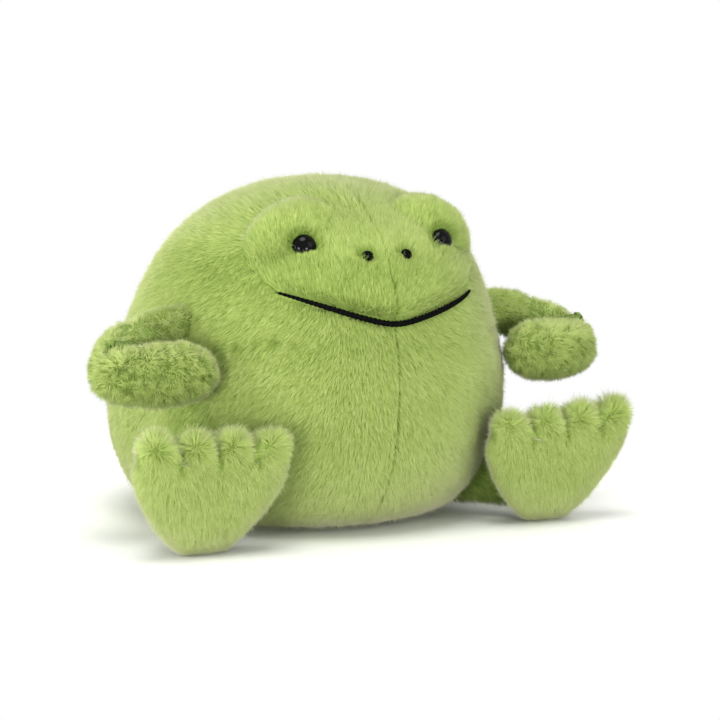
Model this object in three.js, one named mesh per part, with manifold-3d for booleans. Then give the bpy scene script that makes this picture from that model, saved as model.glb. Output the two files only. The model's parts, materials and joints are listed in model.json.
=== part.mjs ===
// A sitting plush frog: a round body sewn from fur fabric panels, two folded arms,
// two short legs with four-toed feet, safety eyes, a yarn mouth and a pellet bag inside.
// Millimetres. +Z is up, the frog faces -Y, and the origin is the middle of its flat base.

import * as THREE from 'three';
import { mergeVertices } from 'three/addons/utils/BufferGeometryUtils.js';
import Module from 'manifold-3d';

const wasm = await Module();
wasm.setup();

// Driving dimensions

const clothThickness = 3;
const seamGap = 0.3;
const fitGap = 0.3;
const foldGap = 0.6;
const cutOverrun = 5;
const probeStep = 0.5;
const speckSize = 1;
const shortestEdge = 0.005;

// Body: one egg that leans forward, as rings stacked along its side profile
const bodyHalfWidth = 75.8;
const bodyHeight = 131;
const bodyDepthShare = 1.04;
const bodyLeanShare = -0.15;
const bodyProfileShares = [
  [0.59, 0], [0.745, 0.025], [0.85, 0.07], [0.925, 0.14], [0.98, 0.23], [1, 0.32], [0.99, 0.43],
  [0.938, 0.55], [0.862, 0.68], [0.778, 0.777], [0.695, 0.84], [0.592, 0.892], [0.465, 0.937],
  [0.27, 0.98], [0, 1],
];
const bodySides = 32;
const bodyRows = 18;
const basePanelRadius = 52;

// Face: the smiling mouth line, the lip that bulges over it and the panel above it,
// with their heights as shares of the body's, so that the face keeps its place on the egg
const mouthCentreShare = 0.6137;
const mouthRiseShare = 0.0878;
const faceTopShare = 0.9237;
const mouthHalfWidth = 39.5;
const mouthCentreHeight = mouthCentreShare * bodyHeight;
const mouthRise = mouthRiseShare * bodyHeight;
const mouthRoundness = 8;
const lipBulge = 3.2;
const lipReach = 38;
const lipEdge = 4;
const faceHalfWidth = 48;
const faceTopHeight = faceTopShare * bodyHeight;
const faceStart = 25;
const faceSideShares = [[0.915, 0.17], [0.92, 0.33], [0.87, 0.5], [0.646, 0.777], [0.333, 1], [0, 0.948]];

// Brows: each a mound on the egg, in the middle of a panel that reaches down around the eye
const browHeightShare = 0.874;
const browOffset = 31;
const browHeight = browHeightShare * bodyHeight;
const browHalfLength = 20;
const browHalfWidth = 12.5;
const browReach = 16;
const browTilt = THREE.MathUtils.degToRad(27);
const browBulge = 7.5;
const browPanelHalfWidth = 14.5;
const browPanelDrop = 2.5;
const browPanelSides = 20;

// Side seam, seen from the side: back from the corner of the mouth and down the flank
const bellyHalfDepth = 79;
const sideSeamShares = [
  [0.82, 1], [0.66, 0.95], [0.544, 0.86], [0.456, 0.72], [0.316, 0.49], [0.177, 0.22], [0.1, -0.06],
];

// Eyes with their shanks and lock washers, nostrils and mouth yarn
const eyeHeightShare = 0.8329;
const nostrilHeightShare = 0.796;
const eyeOffset = 28;
const eyeHeight = eyeHeightShare * bodyHeight;
const eyeRadius = 4.5;
const eyeDome = 3.4;
const eyeSeatDepth = 2;
const eyeSides = 14;
const eyeDomeRows = 4;
const shankRadius = 1.5;
const washerRadius = 5.5;
const washerThickness = 1.2;
const washerSides = 12;
const shankTail = 2.2;
const nostrilOffset = 7.8;
const nostrilHeight = nostrilHeightShare * bodyHeight;
const nostrilHalfWidth = 2.2;
const nostrilHalfHeight = 1.8;
const nostrilDepth = 1.5;
const knotSides = 8;
const knotRows = 6;
const yarnRadius = 1.05;
const yarnEndShare = 0.45;
const yarnRows = 16;
const yarnSides = 5;

// Pellet bag in the seat
const bagRadius = 36;
const bagHeight = 20;
const bagEndShare = 0.55;
const bagSides = 20;
const bagRows = 4;

// Arms: from the shoulder seam out to the elbow, then folded forward and back in to the hand
const shoulderDepth = -36;
const shoulderHeight = 77;
const shoulderHingeShare = 0.54;
const armSpan = 29.5;
const armFold = 20;
const armDrop = 12.9;
const armRouteShares = [
  [-0.2, 0, 0], [0.18, 0.01, 0.02], [0.48, 0.06, 0.25], [0.82, 0.13, 0.56], [1, 0.46, 1],
  [0.92, 0.85, 1.05], [0.5, 1, 1.06], [0.08, 1.1, 0.96], [-0.16, 1.2, 0.78],
];
const armThickness = 9.4;
const armHalfHeight = 12.2;
const armSizeShares = [
  [0.4, 0.72], [0.6, 0.72], [0.76, 0.76], [0.86, 0.82], [0.96, 0.85], [1, 0.9], [1, 1], [0.88, 0.9],
  [0.72, 0.78],
];
const armSides = 10;
const armRows = 12;
const armTipShare = 0.84;

// Legs: short stubs from the hip seam to the back of the foot
const hipOffset = 57;
const hipHeight = 17;
const legReach = 24.5;
const legYaw = THREE.MathUtils.degToRad(49);
const legHalfWidth = 12;
const legHalfHeight = 14;
const legRoot = 12;
const legSides = 12;
const legRows = 4;

// Feet: a puffed pad, heel on the floor, sole to the front, four toes along the top
const footOffset = 71;
const heelDepth = -67;
const footLean = THREE.MathUtils.degToRad(19);
const footHalfWidth = 30.4;
const footLength = 47.5;
const footThickness = 20;
const footCentreShare = 0.5;
const footSideShares = [
  [0, -0.01], [0.28, 0.02], [0.5, 0.13], [0.7, 0.29], [0.87, 0.47], [0.98, 0.65], [1, 0.78],
];
const toeCount = 4;
const toeRadius = 7.2;
const toeSwell = 0.6;
const toeRise = 1.6;
const toeArcSteps = 4;
const footRows = 7;
const toeFade = 5;
const toeLevelShare = 0.8;
const footFullness = 0.75;

// Materials, one for each kind of finish
const furMaterial = new THREE.MeshStandardMaterial({ color: 0x9db85c, roughness: 0.95, metalness: 0 });
const soleMaterial = new THREE.MeshStandardMaterial({ color: 0xa9c466, roughness: 0.95, metalness: 0 });
const armMaterial = new THREE.MeshStandardMaterial({ color: 0x8fac50, roughness: 0.95, metalness: 0 });
const paddingMaterial = new THREE.MeshStandardMaterial({ color: 0xf2f1ec, roughness: 1, metalness: 0 });
const bagMaterial = new THREE.MeshStandardMaterial({ color: 0xd9d6cc, roughness: 0.9, metalness: 0 });
const eyeMaterial = new THREE.MeshStandardMaterial({ color: 0x060606, roughness: 0.08, metalness: 0 });
const washerMaterial = new THREE.MeshStandardMaterial({ color: 0xe8e8e4, roughness: 0.5, metalness: 0 });
const yarnMaterial = new THREE.MeshStandardMaterial({ color: 0x0c0c0b, roughness: 0.85, metalness: 0 });

// Solids

function solidFromArrays(vertProperties, triVerts) {
  return new wasm.Manifold(new wasm.Mesh({ numProp: 3, vertProperties, triVerts }));
}

function solidFromGeometry(geometry) {
  const bare = geometry.clone();
  bare.deleteAttribute('normal');
  bare.deleteAttribute('uv');
  const { attributes, index } = mergeVertices(bare);
  return solidFromArrays(new Float32Array(attributes.position.array), new Uint32Array(index.array));
}

// A closed solid through rings of points, each end closed by a fan to the middle of its ring
function solidFromRings(rings) {
  const sides = rings[0].length;
  const points = rings.flat();
  const endMiddles = [rings[0], rings[rings.length - 1]].map((ring) => {
    const sum = ring.reduce((total, point) => total.add(point), new THREE.Vector3());
    return sum.divideScalar(sides);
  });
  points.push(...endMiddles);
  const first = rings.length * sides;
  const last = first + 1;
  const faces = [];
  for (let side = 0; side < sides; side += 1) {
    const next = (side + 1) % sides;
    for (let row = 0; row + 1 < rings.length; row += 1) {
      const low = row * sides;
      const high = low + sides;
      faces.push([low + side, low + next, high + next], [low + side, high + next, high + side]);
    }
    const top = (rings.length - 1) * sides;
    faces.push([first, next, side], [last, top + side, top + next]);
  }
  let volume = 0;
  for (const [a, b, c] of faces) {
    volume += points[a].dot(new THREE.Vector3().crossVectors(points[b], points[c]));
  }
  const outward = volume > 0 ? faces : faces.map(([a, b, c]) => [a, c, b]);
  const places = points.flatMap((point) => point.toArray());
  return solidFromArrays(new Float32Array(places), new Uint32Array(outward.flat()));
}

// A cut along a curved seam can shave off specks of cloth, which a cutter would brush away
function withoutSpecks(solid) {
  const pieces = solid.decompose().filter((piece) => piece.volume() > speckSize ** 3);
  return pieces.reduce((whole, piece) => whole.add(piece));
}

function meshFromSolid(solid, name, material, origin = new THREE.Vector3()) {
  const { vertProperties, triVerts } = withoutSpecks(solid).asOriginal().simplify(shortestEdge).getMesh();
  const geometry = new THREE.BufferGeometry();
  geometry.setAttribute('position', new THREE.BufferAttribute(new Float32Array(vertProperties), 3));
  geometry.setIndex(new THREE.BufferAttribute(new Uint32Array(triVerts), 1));
  geometry.translate(-origin.x, -origin.y, -origin.z);
  geometry.computeVertexNormals();
  const mesh = new THREE.Mesh(geometry, material);
  mesh.name = name;
  return mesh;
}

// Outlines: lists of Vector2 that run anticlockwise

function offsetOutline(outline, distance) {
  return outline.map((point, index) => {
    const before = outline[(index + outline.length - 1) % outline.length];
    const after = outline[(index + 1) % outline.length];
    const along = after.clone().sub(before).normalize();
    return new THREE.Vector2(point.x + along.y * distance, point.y - along.x * distance);
  });
}

function prismGeometry(outline, depth) {
  return new THREE.ExtrudeGeometry(new THREE.Shape(outline), { depth, bevelEnabled: false });
}

// A prism whose outline is seen from the front, from depth `near` to depth `far` along -Y
function frontPrism(outline, near, far) {
  const geometry = prismGeometry(outline, far - near);
  geometry.rotateX(Math.PI / 2);
  geometry.translate(0, -near, 0);
  return solidFromGeometry(geometry);
}

// A prism whose outline is seen from above
function upPrism(outline, low, high) {
  const geometry = prismGeometry(outline, high - low);
  geometry.translate(0, 0, low);
  return solidFromGeometry(geometry);
}

// A prism whose outline is seen from the frog's left, as (depth in front, height)
function sidePrism(outline, halfWidth) {
  const geometry = prismGeometry(outline, 2 * halfWidth);
  geometry.translate(0, 0, -halfWidth);
  geometry.applyMatrix4(new THREE.Matrix4().makeBasis(
    new THREE.Vector3(0, -1, 0),
    new THREE.Vector3(0, 0, 1),
    new THREE.Vector3(-1, 0, 0),
  ));
  return solidFromGeometry(geometry);
}

function halfSpace(side) {
  const reach = bodyHalfWidth + cutOverrun;
  const box = new THREE.BoxGeometry(reach, 4 * reach, 4 * reach);
  box.translate(side * (reach + seamGap) / 2, 0, 0);
  return solidFromGeometry(box);
}

// Body surface

const bodyProfile = new THREE.SplineCurve(bodyProfileShares.map(
  ([radius, height]) => new THREE.Vector2(radius * bodyHalfWidth, height * bodyHeight),
));
const profileSamples = bodyProfile.getSpacedPoints(bodyRows * bodyRows);

function ringRadiusAt(height) {
  const index = profileSamples.findIndex((sample) => sample.y >= height);
  if (index <= 0) {
    return index === 0 ? profileSamples[0].x : 0;
  }
  const low = profileSamples[index - 1];
  const high = profileSamples[index];
  return THREE.MathUtils.mapLinear(height, low.y, high.y, low.x, high.x);
}

function mouthHeightAt(x) {
  const reach = Math.hypot(mouthHalfWidth, mouthRoundness) - mouthRoundness;
  return mouthCentreHeight + mouthRise * (Math.hypot(x, mouthRoundness) - mouthRoundness) / reach;
}

// The plain egg's front surface behind a point seen from the front
function plainFront(x, height) {
  const radius = ringRadiusAt(height);
  const depth = radius * bodyDepthShare * Math.sqrt(Math.max(0, 1 - (x / radius) ** 2));
  return new THREE.Vector3(x, bodyLeanShare * height - depth, height);
}

function facing(surface, x, height) {
  const across = surface(x + probeStep, height).sub(surface(x - probeStep, height));
  const up = surface(x, height + probeStep).sub(surface(x, height - probeStep));
  return across.cross(up).normalize();
}

// A brow's own frame: X along the mound, Y down towards the eye, Z out of the head
function browMatrix(side) {
  const outward = facing(plainFront, side * browOffset, browHeight);
  const tilted = new THREE.Vector3(-Math.cos(browTilt), 0, side * Math.sin(browTilt));
  const down = new THREE.Vector3().crossVectors(outward, tilted).normalize();
  const along = new THREE.Vector3().crossVectors(down, outward);
  const middle = plainFront(side * browOffset, browHeight);
  return new THREE.Matrix4().makeBasis(along, down, outward).setPosition(middle);
}

const intoBrow = browMatrix(1).invert();

// How far the face stands out from the plain egg
function faceRelief(point) {
  if (point.y > 0) {
    return 0;
  }
  const across = Math.abs(point.x);
  const local = new THREE.Vector3(across, point.y, point.z).applyMatrix4(intoBrow);
  const flat = (local.x / browHalfLength) ** 2 + (local.y / browHalfWidth) ** 2;
  const brow = browBulge * Math.max(0, 1 - flat - (local.z / browReach) ** 2);
  const aboveMouth = point.z - mouthHeightAt(across);
  if (aboveMouth <= 0 || aboveMouth >= lipReach || across >= faceHalfWidth) {
    return brow;
  }
  const rise = Math.min(1, aboveMouth / lipEdge);
  const fade = (1 - aboveMouth / lipReach) * (1 - (across / faceHalfWidth) ** 2);
  return brow + lipBulge * rise * fade;
}

// The point of the body at a radius and height of its profile, pushed in along its normal
function bodyPoint(profilePoint, profileNormal, angle, inset) {
  const outward = new THREE.Vector3(
    Math.cos(angle) * profileNormal.x,
    Math.sin(angle) * profileNormal.x / bodyDepthShare,
    profileNormal.y,
  ).normalize();
  const point = new THREE.Vector3(
    Math.cos(angle) * profilePoint.x,
    Math.sin(angle) * profilePoint.x * bodyDepthShare + bodyLeanShare * profilePoint.y,
    profilePoint.y,
  );
  return point.addScaledVector(outward, faceRelief(point) - inset);
}

function bodySolid(inset) {
  const spread = bodyProfile.getSpacedPoints(bodyRows);
  const rings = spread.slice(0, -1).map((profilePoint, row) => {
    const tangent = bodyProfile.getTangentAt(row / bodyRows);
    const profileNormal = new THREE.Vector2(tangent.y, -tangent.x);
    return Array.from({ length: bodySides }, (_, side) => (
      bodyPoint(profilePoint, profileNormal, (side + 0.5) / bodySides * 2 * Math.PI, inset)
    ));
  });
  const crown = spread[bodyRows];
  const crownRing = Array.from({ length: bodySides }, (_, side) => {
    const angle = (side + 0.5) / bodySides * 2 * Math.PI;
    const tiny = new THREE.Vector2(spread[bodyRows - 1].x / bodyRows, crown.y);
    return bodyPoint(tiny, new THREE.Vector2(0, 1), angle, inset);
  });
  return solidFromRings([...rings, crownRing]);
}

// The place and the outward direction of the real front surface near a point seen from the front
function frontPlace(x, height) {
  const outward = facing(plainFront, x, height);
  function raised(px, pz) {
    const plain = plainFront(px, pz);
    return plain.addScaledVector(outward, faceRelief(plain));
  }
  return { point: raised(x, height), normal: facing(raised, x, height) };
}

// The body's own solids

const outerBody = bodySolid(0);
const innerBody = bodySolid(clothThickness);
const coverShell = outerBody.subtract(innerBody);

function basePlug(gap) {
  const radius = basePanelRadius + gap;
  const plug = new THREE.CylinderGeometry(radius, radius, 4 * cutOverrun, bodySides);
  plug.rotateX(Math.PI / 2);
  return solidFromGeometry(plug);
}

function faceOutline() {
  const mouthSteps = 12;
  const outline = [];
  for (let step = 0; step <= mouthSteps; step += 1) {
    const x = mouthHalfWidth * (2 * step / mouthSteps - 1);
    outline.push(new THREE.Vector2(x, mouthHeightAt(x)));
  }
  const mouthEnd = mouthHeightAt(mouthHalfWidth);
  const side = faceSideShares.map(([across, up]) => (
    new THREE.Vector2(across * faceHalfWidth, mouthEnd + up * (faceTopHeight - mouthEnd))
  ));
  const mirrored = side.slice(0, -1).reverse().map((point) => new THREE.Vector2(-point.x, point.y));
  return [...outline, ...side, ...mirrored];
}

function bellyOutline() {
  const mouthEnd = mouthHeightAt(mouthHalfWidth);
  const seam = sideSeamShares.map(([depth, up]) => new THREE.Vector2(depth * bellyHalfDepth, up * mouthEnd));
  const far = 2 * bellyHalfDepth;
  return [...seam, new THREE.Vector2(far, seam[seam.length - 1].y), new THREE.Vector2(far, mouthEnd)];
}

const facePrism = (gap) => frontPrism(offsetOutline(faceOutline(), gap), faceStart, 2 * bodyHalfWidth);
const bellyPrism = (gap) => sidePrism(offsetOutline(bellyOutline(), gap), 2 * bodyHalfWidth);
const halfGap = seamGap / 2;

// An oval plug that stands square to the brow
function browPlug(side, gap) {
  const plug = new THREE.CylinderGeometry(1, 1, 2 * browReach, browPanelSides);
  plug.rotateX(Math.PI / 2);
  plug.scale(browHalfLength + gap, browPanelHalfWidth + gap, 1);
  plug.translate(0, browPanelDrop, 0);
  plug.applyMatrix4(browMatrix(side));
  return solidFromGeometry(plug);
}

// Small pieces of the face, in their places

function turnedTo(normal) {
  return new THREE.Quaternion().setFromUnitVectors(new THREE.Vector3(0, 1, 0), normal);
}

function lathe(profile, segments) {
  return new THREE.LatheGeometry(profile.map(([x, y]) => new THREE.Vector2(x, y)), segments);
}

function placed(geometry, place) {
  const turned = geometry.clone().applyQuaternion(turnedTo(place.normal));
  return solidFromGeometry(turned.translate(place.point.x, place.point.y, place.point.z));
}

function eyeProfile(grow) {
  const tail = clothThickness + washerThickness + shankTail;
  const profile = [
    [0, -tail - grow], [shankRadius + grow, -tail - grow],
    [shankRadius + grow, -grow], [eyeRadius + grow, -grow],
  ];
  for (let row = 1; row < eyeDomeRows; row += 1) {
    const angle = row / eyeDomeRows * Math.PI / 2;
    profile.push([(eyeRadius + grow) * Math.cos(angle), (eyeDome + grow) * Math.sin(angle)]);
  }
  profile.push([0, eyeDome + grow]);
  return profile;
}

function washerProfile(grow) {
  const top = -clothThickness - foldGap + eyeSeatDepth + grow;
  const bottom = top - washerThickness - 2 * grow;
  const inner = shankRadius + fitGap;
  const outer = washerRadius + grow;
  return [[inner, top], [inner, bottom], [outer, bottom], [outer, top], [inner, top]];
}

// The room that a washer takes, closed over the shank
function washerSeatProfile() {
  const [, [, bottom], [outer], [, top]] = washerProfile(fitGap);
  return [[0, bottom], [outer, bottom], [outer, top], [0, top]];
}

// The room in the stuffing behind an eye, for its washer and the end of its shank
function washerRoomProfile() {
  const deep = -clothThickness - washerThickness - shankTail - foldGap;
  const outer = washerRadius + fitGap;
  return [[0, deep], [outer, deep], [outer, 0], [0, 0]];
}

function knotGeometry(grow) {
  const knot = new THREE.SphereGeometry(1, knotSides, knotRows);
  return knot.scale(nostrilHalfWidth + grow, nostrilDepth + grow, nostrilHalfHeight + grow);
}

function sunk(place, depth) {
  return { point: place.point.clone().addScaledVector(place.normal, -depth), normal: place.normal };
}

// Mouth yarn: a tapering strand that lies on the seam

function yarnSolid(grow) {
  const rings = Array.from({ length: yarnRows + 1 }, (_, row) => {
    const share = 2 * row / yarnRows - 1;
    const x = mouthHalfWidth * share;
    const place = frontPlace(x, mouthHeightAt(x));
    const beside = frontPlace(x + probeStep, mouthHeightAt(x + probeStep));
    const along = beside.point.sub(place.point).normalize();
    const level = new THREE.Vector3().crossVectors(place.normal, along).normalize();
    const radius = yarnRadius * THREE.MathUtils.lerp(1, yarnEndShare, share ** 4) + grow;
    return Array.from({ length: yarnSides }, (_, side) => {
      const angle = side / yarnSides * 2 * Math.PI;
      return place.point.clone()
        .addScaledVector(place.normal, radius * Math.cos(angle))
        .addScaledVector(level, radius * Math.sin(angle));
    });
  });
  return solidFromRings(rings);
}

// Limbs: rings swept along a route, with their half thickness and half height at each station

function sweptLimb(route, sizes, rows, sides, tipShare, inset) {
  const path = new THREE.CatmullRomCurve3(route);
  const spread = new THREE.CatmullRomCurve3(sizes);
  const up = new THREE.Vector3(0, 0, 1);
  const rings = Array.from({ length: rows + 1 }, (_, row) => {
    const share = row / rows;
    const tipAngle = share > tipShare ? (share - tipShare) / (1 - tipShare) * Math.PI / 2 : 0;
    const station = Math.min(share, tipShare) + (1 - tipShare) * Math.sin(tipAngle);
    const along = path.getTangent(station);
    const level = new THREE.Vector3().crossVectors(up, along).normalize();
    const upright = new THREE.Vector3().crossVectors(along, level);
    const size = spread.getPoint(station);
    const round = Math.max(Math.cos(tipAngle), 1 / (4 * rows));
    const halfAcross = Math.max(size.x * round - inset, size.x / rows);
    const halfUp = Math.max(size.y * round - inset, size.y / rows);
    const middle = path.getPoint(station).addScaledVector(along, -inset * Math.sin(tipAngle));
    return Array.from({ length: sides }, (_, side) => {
      const angle = side / sides * 2 * Math.PI;
      return middle.clone()
        .addScaledVector(level, halfAcross * Math.cos(angle))
        .addScaledVector(upright, halfUp * Math.sin(angle));
    });
  });
  return solidFromRings(rings);
}

// The place on the egg's flank at a depth and a height
function flankPlace(side, depth, height) {
  const radius = ringRadiusAt(height);
  const forward = depth - bodyLeanShare * height;
  const x = radius * Math.sqrt(1 - (forward / (radius * bodyDepthShare)) ** 2);
  return new THREE.Vector3(side * x, depth, height);
}

const shoulderPoint = (side) => flankPlace(side, shoulderDepth, shoulderHeight);

// The arm turns on the back edge of its sewn root
function shoulderPivot(side) {
  return flankPlace(side, shoulderDepth + shoulderHingeShare * armThickness, shoulderHeight);
}

function armRoute(side) {
  const shoulder = shoulderPoint(side);
  return armRouteShares.map(([out, forward, down]) => new THREE.Vector3(
    shoulder.x + side * out * armSpan,
    shoulder.y - forward * armFold,
    shoulder.z - down * armDrop,
  ));
}

const armSizes = armSizeShares.map(([across, up]) => (
  new THREE.Vector3(across * armThickness, up * armHalfHeight, 0)
));

function armSolid(side, inset) {
  return sweptLimb(armRoute(side), armSizes, armRows, armSides, armTipShare, inset);
}

// The seam plan of an arm, seen from above: all that lies inside the fold
function armFoldOutline(side, gap) {
  const path = new THREE.CatmullRomCurve3(armRoute(side));
  const points = path.getPoints(armRows).map((point) => new THREE.Vector2(point.x, point.y));
  const rootOut = points[0].clone().sub(points[1]).normalize().multiplyScalar(2 * armThickness);
  const tipOut = points[points.length - 1].clone().sub(points[points.length - 2]).normalize();
  points.unshift(points[0].clone().add(rootOut));
  points.push(points[points.length - 1].clone().addScaledVector(tipOut, 2 * armThickness));
  const outline = side > 0 ? points.reverse() : points;
  return offsetOutline(outline, gap);
}

function hipPoint(side) {
  const { y } = plainFront(hipOffset, hipHeight);
  return new THREE.Vector3(side * hipOffset, y, hipHeight);
}

// The leg turns on the outer edge of its sewn root
const hipPivot = (side) => flankPlace(side, hipPoint(side).y + legHalfWidth, hipHeight);

function legSolid(side, inset) {
  const hip = hipPoint(side);
  const along = new THREE.Vector3(side * Math.cos(legYaw), -Math.sin(legYaw), 0);
  const route = [-legRoot, 0, legReach / 2, legReach].map((way) => hip.clone().addScaledVector(along, way));
  const sizes = route.map(() => new THREE.Vector3(legHalfWidth, legHalfHeight, 0));
  return sweptLimb(route, sizes, legRows, legSides, 1, inset);
}

// Feet

// The outline of a foot, with its toes parted by the given share of their full depth
function footOutline(parting) {
  const path = new THREE.Path();
  const [heel, ...side] = footSideShares.map(([across, up]) => (
    new THREE.Vector2(across * footHalfWidth, up * footLength)
  ));
  path.moveTo(heel.x, heel.y);
  path.splineThru(side);
  const points = path.getSpacedPoints(toeArcSteps);
  const toePitch = 2 * (footHalfWidth - toeRadius - toeSwell) / (toeCount - 1);
  const toeTop = footLength - toeRadius;
  for (let toe = toeCount - 1; toe >= toeCount / 2; toe -= 1) {
    const middle = toePitch * (toe - (toeCount - 1) / 2);
    for (let step = 1; step <= toeArcSteps; step += 1) {
      const angle = Math.PI * (step - 0.5) / toeArcSteps;
      const outerEdge = toe === toeCount - 1 && step <= toeArcSteps / 2;
      const level = outerEdge ? Math.sin(angle) : toeLevelShare;
      const rise = THREE.MathUtils.lerp(level, Math.sin(angle), parting);
      const across = middle + (toeRadius + toeSwell) * Math.cos(angle);
      points.push(new THREE.Vector2(across, toeTop + toeRadius * rise));
    }
  }
  const mirrored = points.slice(1).reverse().map((point) => new THREE.Vector2(-point.x, point.y));
  return [...points, ...mirrored];
}

// The foot's own frame: X across the sole, Y out of the back, Z up from the heel to the toes
function footMatrix(side) {
  const tilt = new THREE.Matrix4().makeRotationX(footLean);
  return tilt.setPosition(side * footOffset, heelDepth, 0);
}

function footSolid(side, inset) {
  const centre = new THREE.Vector2(0, footCentreShare * footLength);
  const matrix = footMatrix(side);
  const rings = Array.from({ length: footRows + 1 }, (_, row) => {
    const angle = Math.PI * (row + 0.5) / (footRows + 1);
    const reach = Math.sin(angle) ** footFullness;
    const depth = -Math.cos(angle) * (footThickness / 2 - inset);
    return footOutline(reach ** toeFade).map((point) => {
      const spoke = point.clone().sub(centre);
      spoke.setLength(Math.max(spoke.length() - inset, 0) * reach);
      const splay = toeRise * reach * side * point.x / footHalfWidth * point.y / footLength;
      return new THREE.Vector3(spoke.x, depth, centre.y + spoke.y + splay).applyMatrix4(matrix);
    });
  });
  return solidFromRings(rings);
}

function footHalf(side, front, gap) {
  const reach = 2 * footLength;
  const box = new THREE.BoxGeometry(reach, reach, 2 * reach);
  box.translate(0, (front ? -1 : 1) * (reach / 2 + gap), 0);
  box.applyMatrix4(footMatrix(side));
  return solidFromGeometry(box);
}

function floorCut(level) {
  const reach = 4 * bodyHalfWidth;
  const box = new THREE.BoxGeometry(reach, reach, cutOverrun);
  box.translate(0, 0, level - cutOverrun / 2);
  return solidFromGeometry(box);
}

// Pellet bag

function uprightLathe(profile) {
  return solidFromGeometry(lathe(profile, bagSides).rotateX(Math.PI / 2));
}

const bagMiddle = clothThickness + fitGap + bagHeight / 2;

function bagSolid(grow) {
  const profile = [[0, bagMiddle - bagHeight / 2 - grow]];
  for (let row = -bagRows; row <= bagRows; row += 1) {
    const angle = row / bagRows * Math.PI / 2;
    const radius = (bagRadius + grow) * THREE.MathUtils.lerp(bagEndShare, 1, Math.sqrt(Math.cos(angle)));
    profile.push([radius, bagMiddle + (bagHeight / 2 + grow) * Math.sin(angle)]);
  }
  profile.push([0, bagMiddle + bagHeight / 2 + grow]);
  return uprightLathe(profile);
}

// The room of the bag, open below so that it drops into the stuffing
function bagRoom() {
  const radius = bagRadius + fitGap;
  const mouth = uprightLathe([[0, -cutOverrun], [radius, -cutOverrun], [radius, bagMiddle], [0, bagMiddle]]);
  return bagSolid(fitGap).add(mouth);
}

// Assembly

const frog = new THREE.Group();
const sides = [['left', 1], ['right', -1]];

const yarnGroove = yarnSolid(fitGap);
const bodyRoom = bodySolid(-fitGap);
const basePanel = coverShell.intersect(basePlug(-halfGap));
const sidePanels = coverShell.subtract(basePlug(halfGap));
const browless = sidePanels.subtract(browPlug(1, halfGap)).subtract(browPlug(-1, halfGap));
const face = browless.intersect(facePrism(-halfGap)).subtract(yarnGroove);
const aroundFace = browless.subtract(facePrism(halfGap)).subtract(yarnGroove);
const belly = aroundFace.intersect(bellyPrism(-halfGap));
const back = aroundFace.subtract(bellyPrism(halfGap));
let stuffing = bodySolid(clothThickness + fitGap).subtract(bagRoom());

frog.add(meshFromSolid(basePanel, 'base_panel', furMaterial));
frog.add(meshFromSolid(bagSolid(0), 'pellet_bag', bagMaterial));
frog.add(meshFromSolid(yarnSolid(0), 'mouth_yarn', yarnMaterial));

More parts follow.
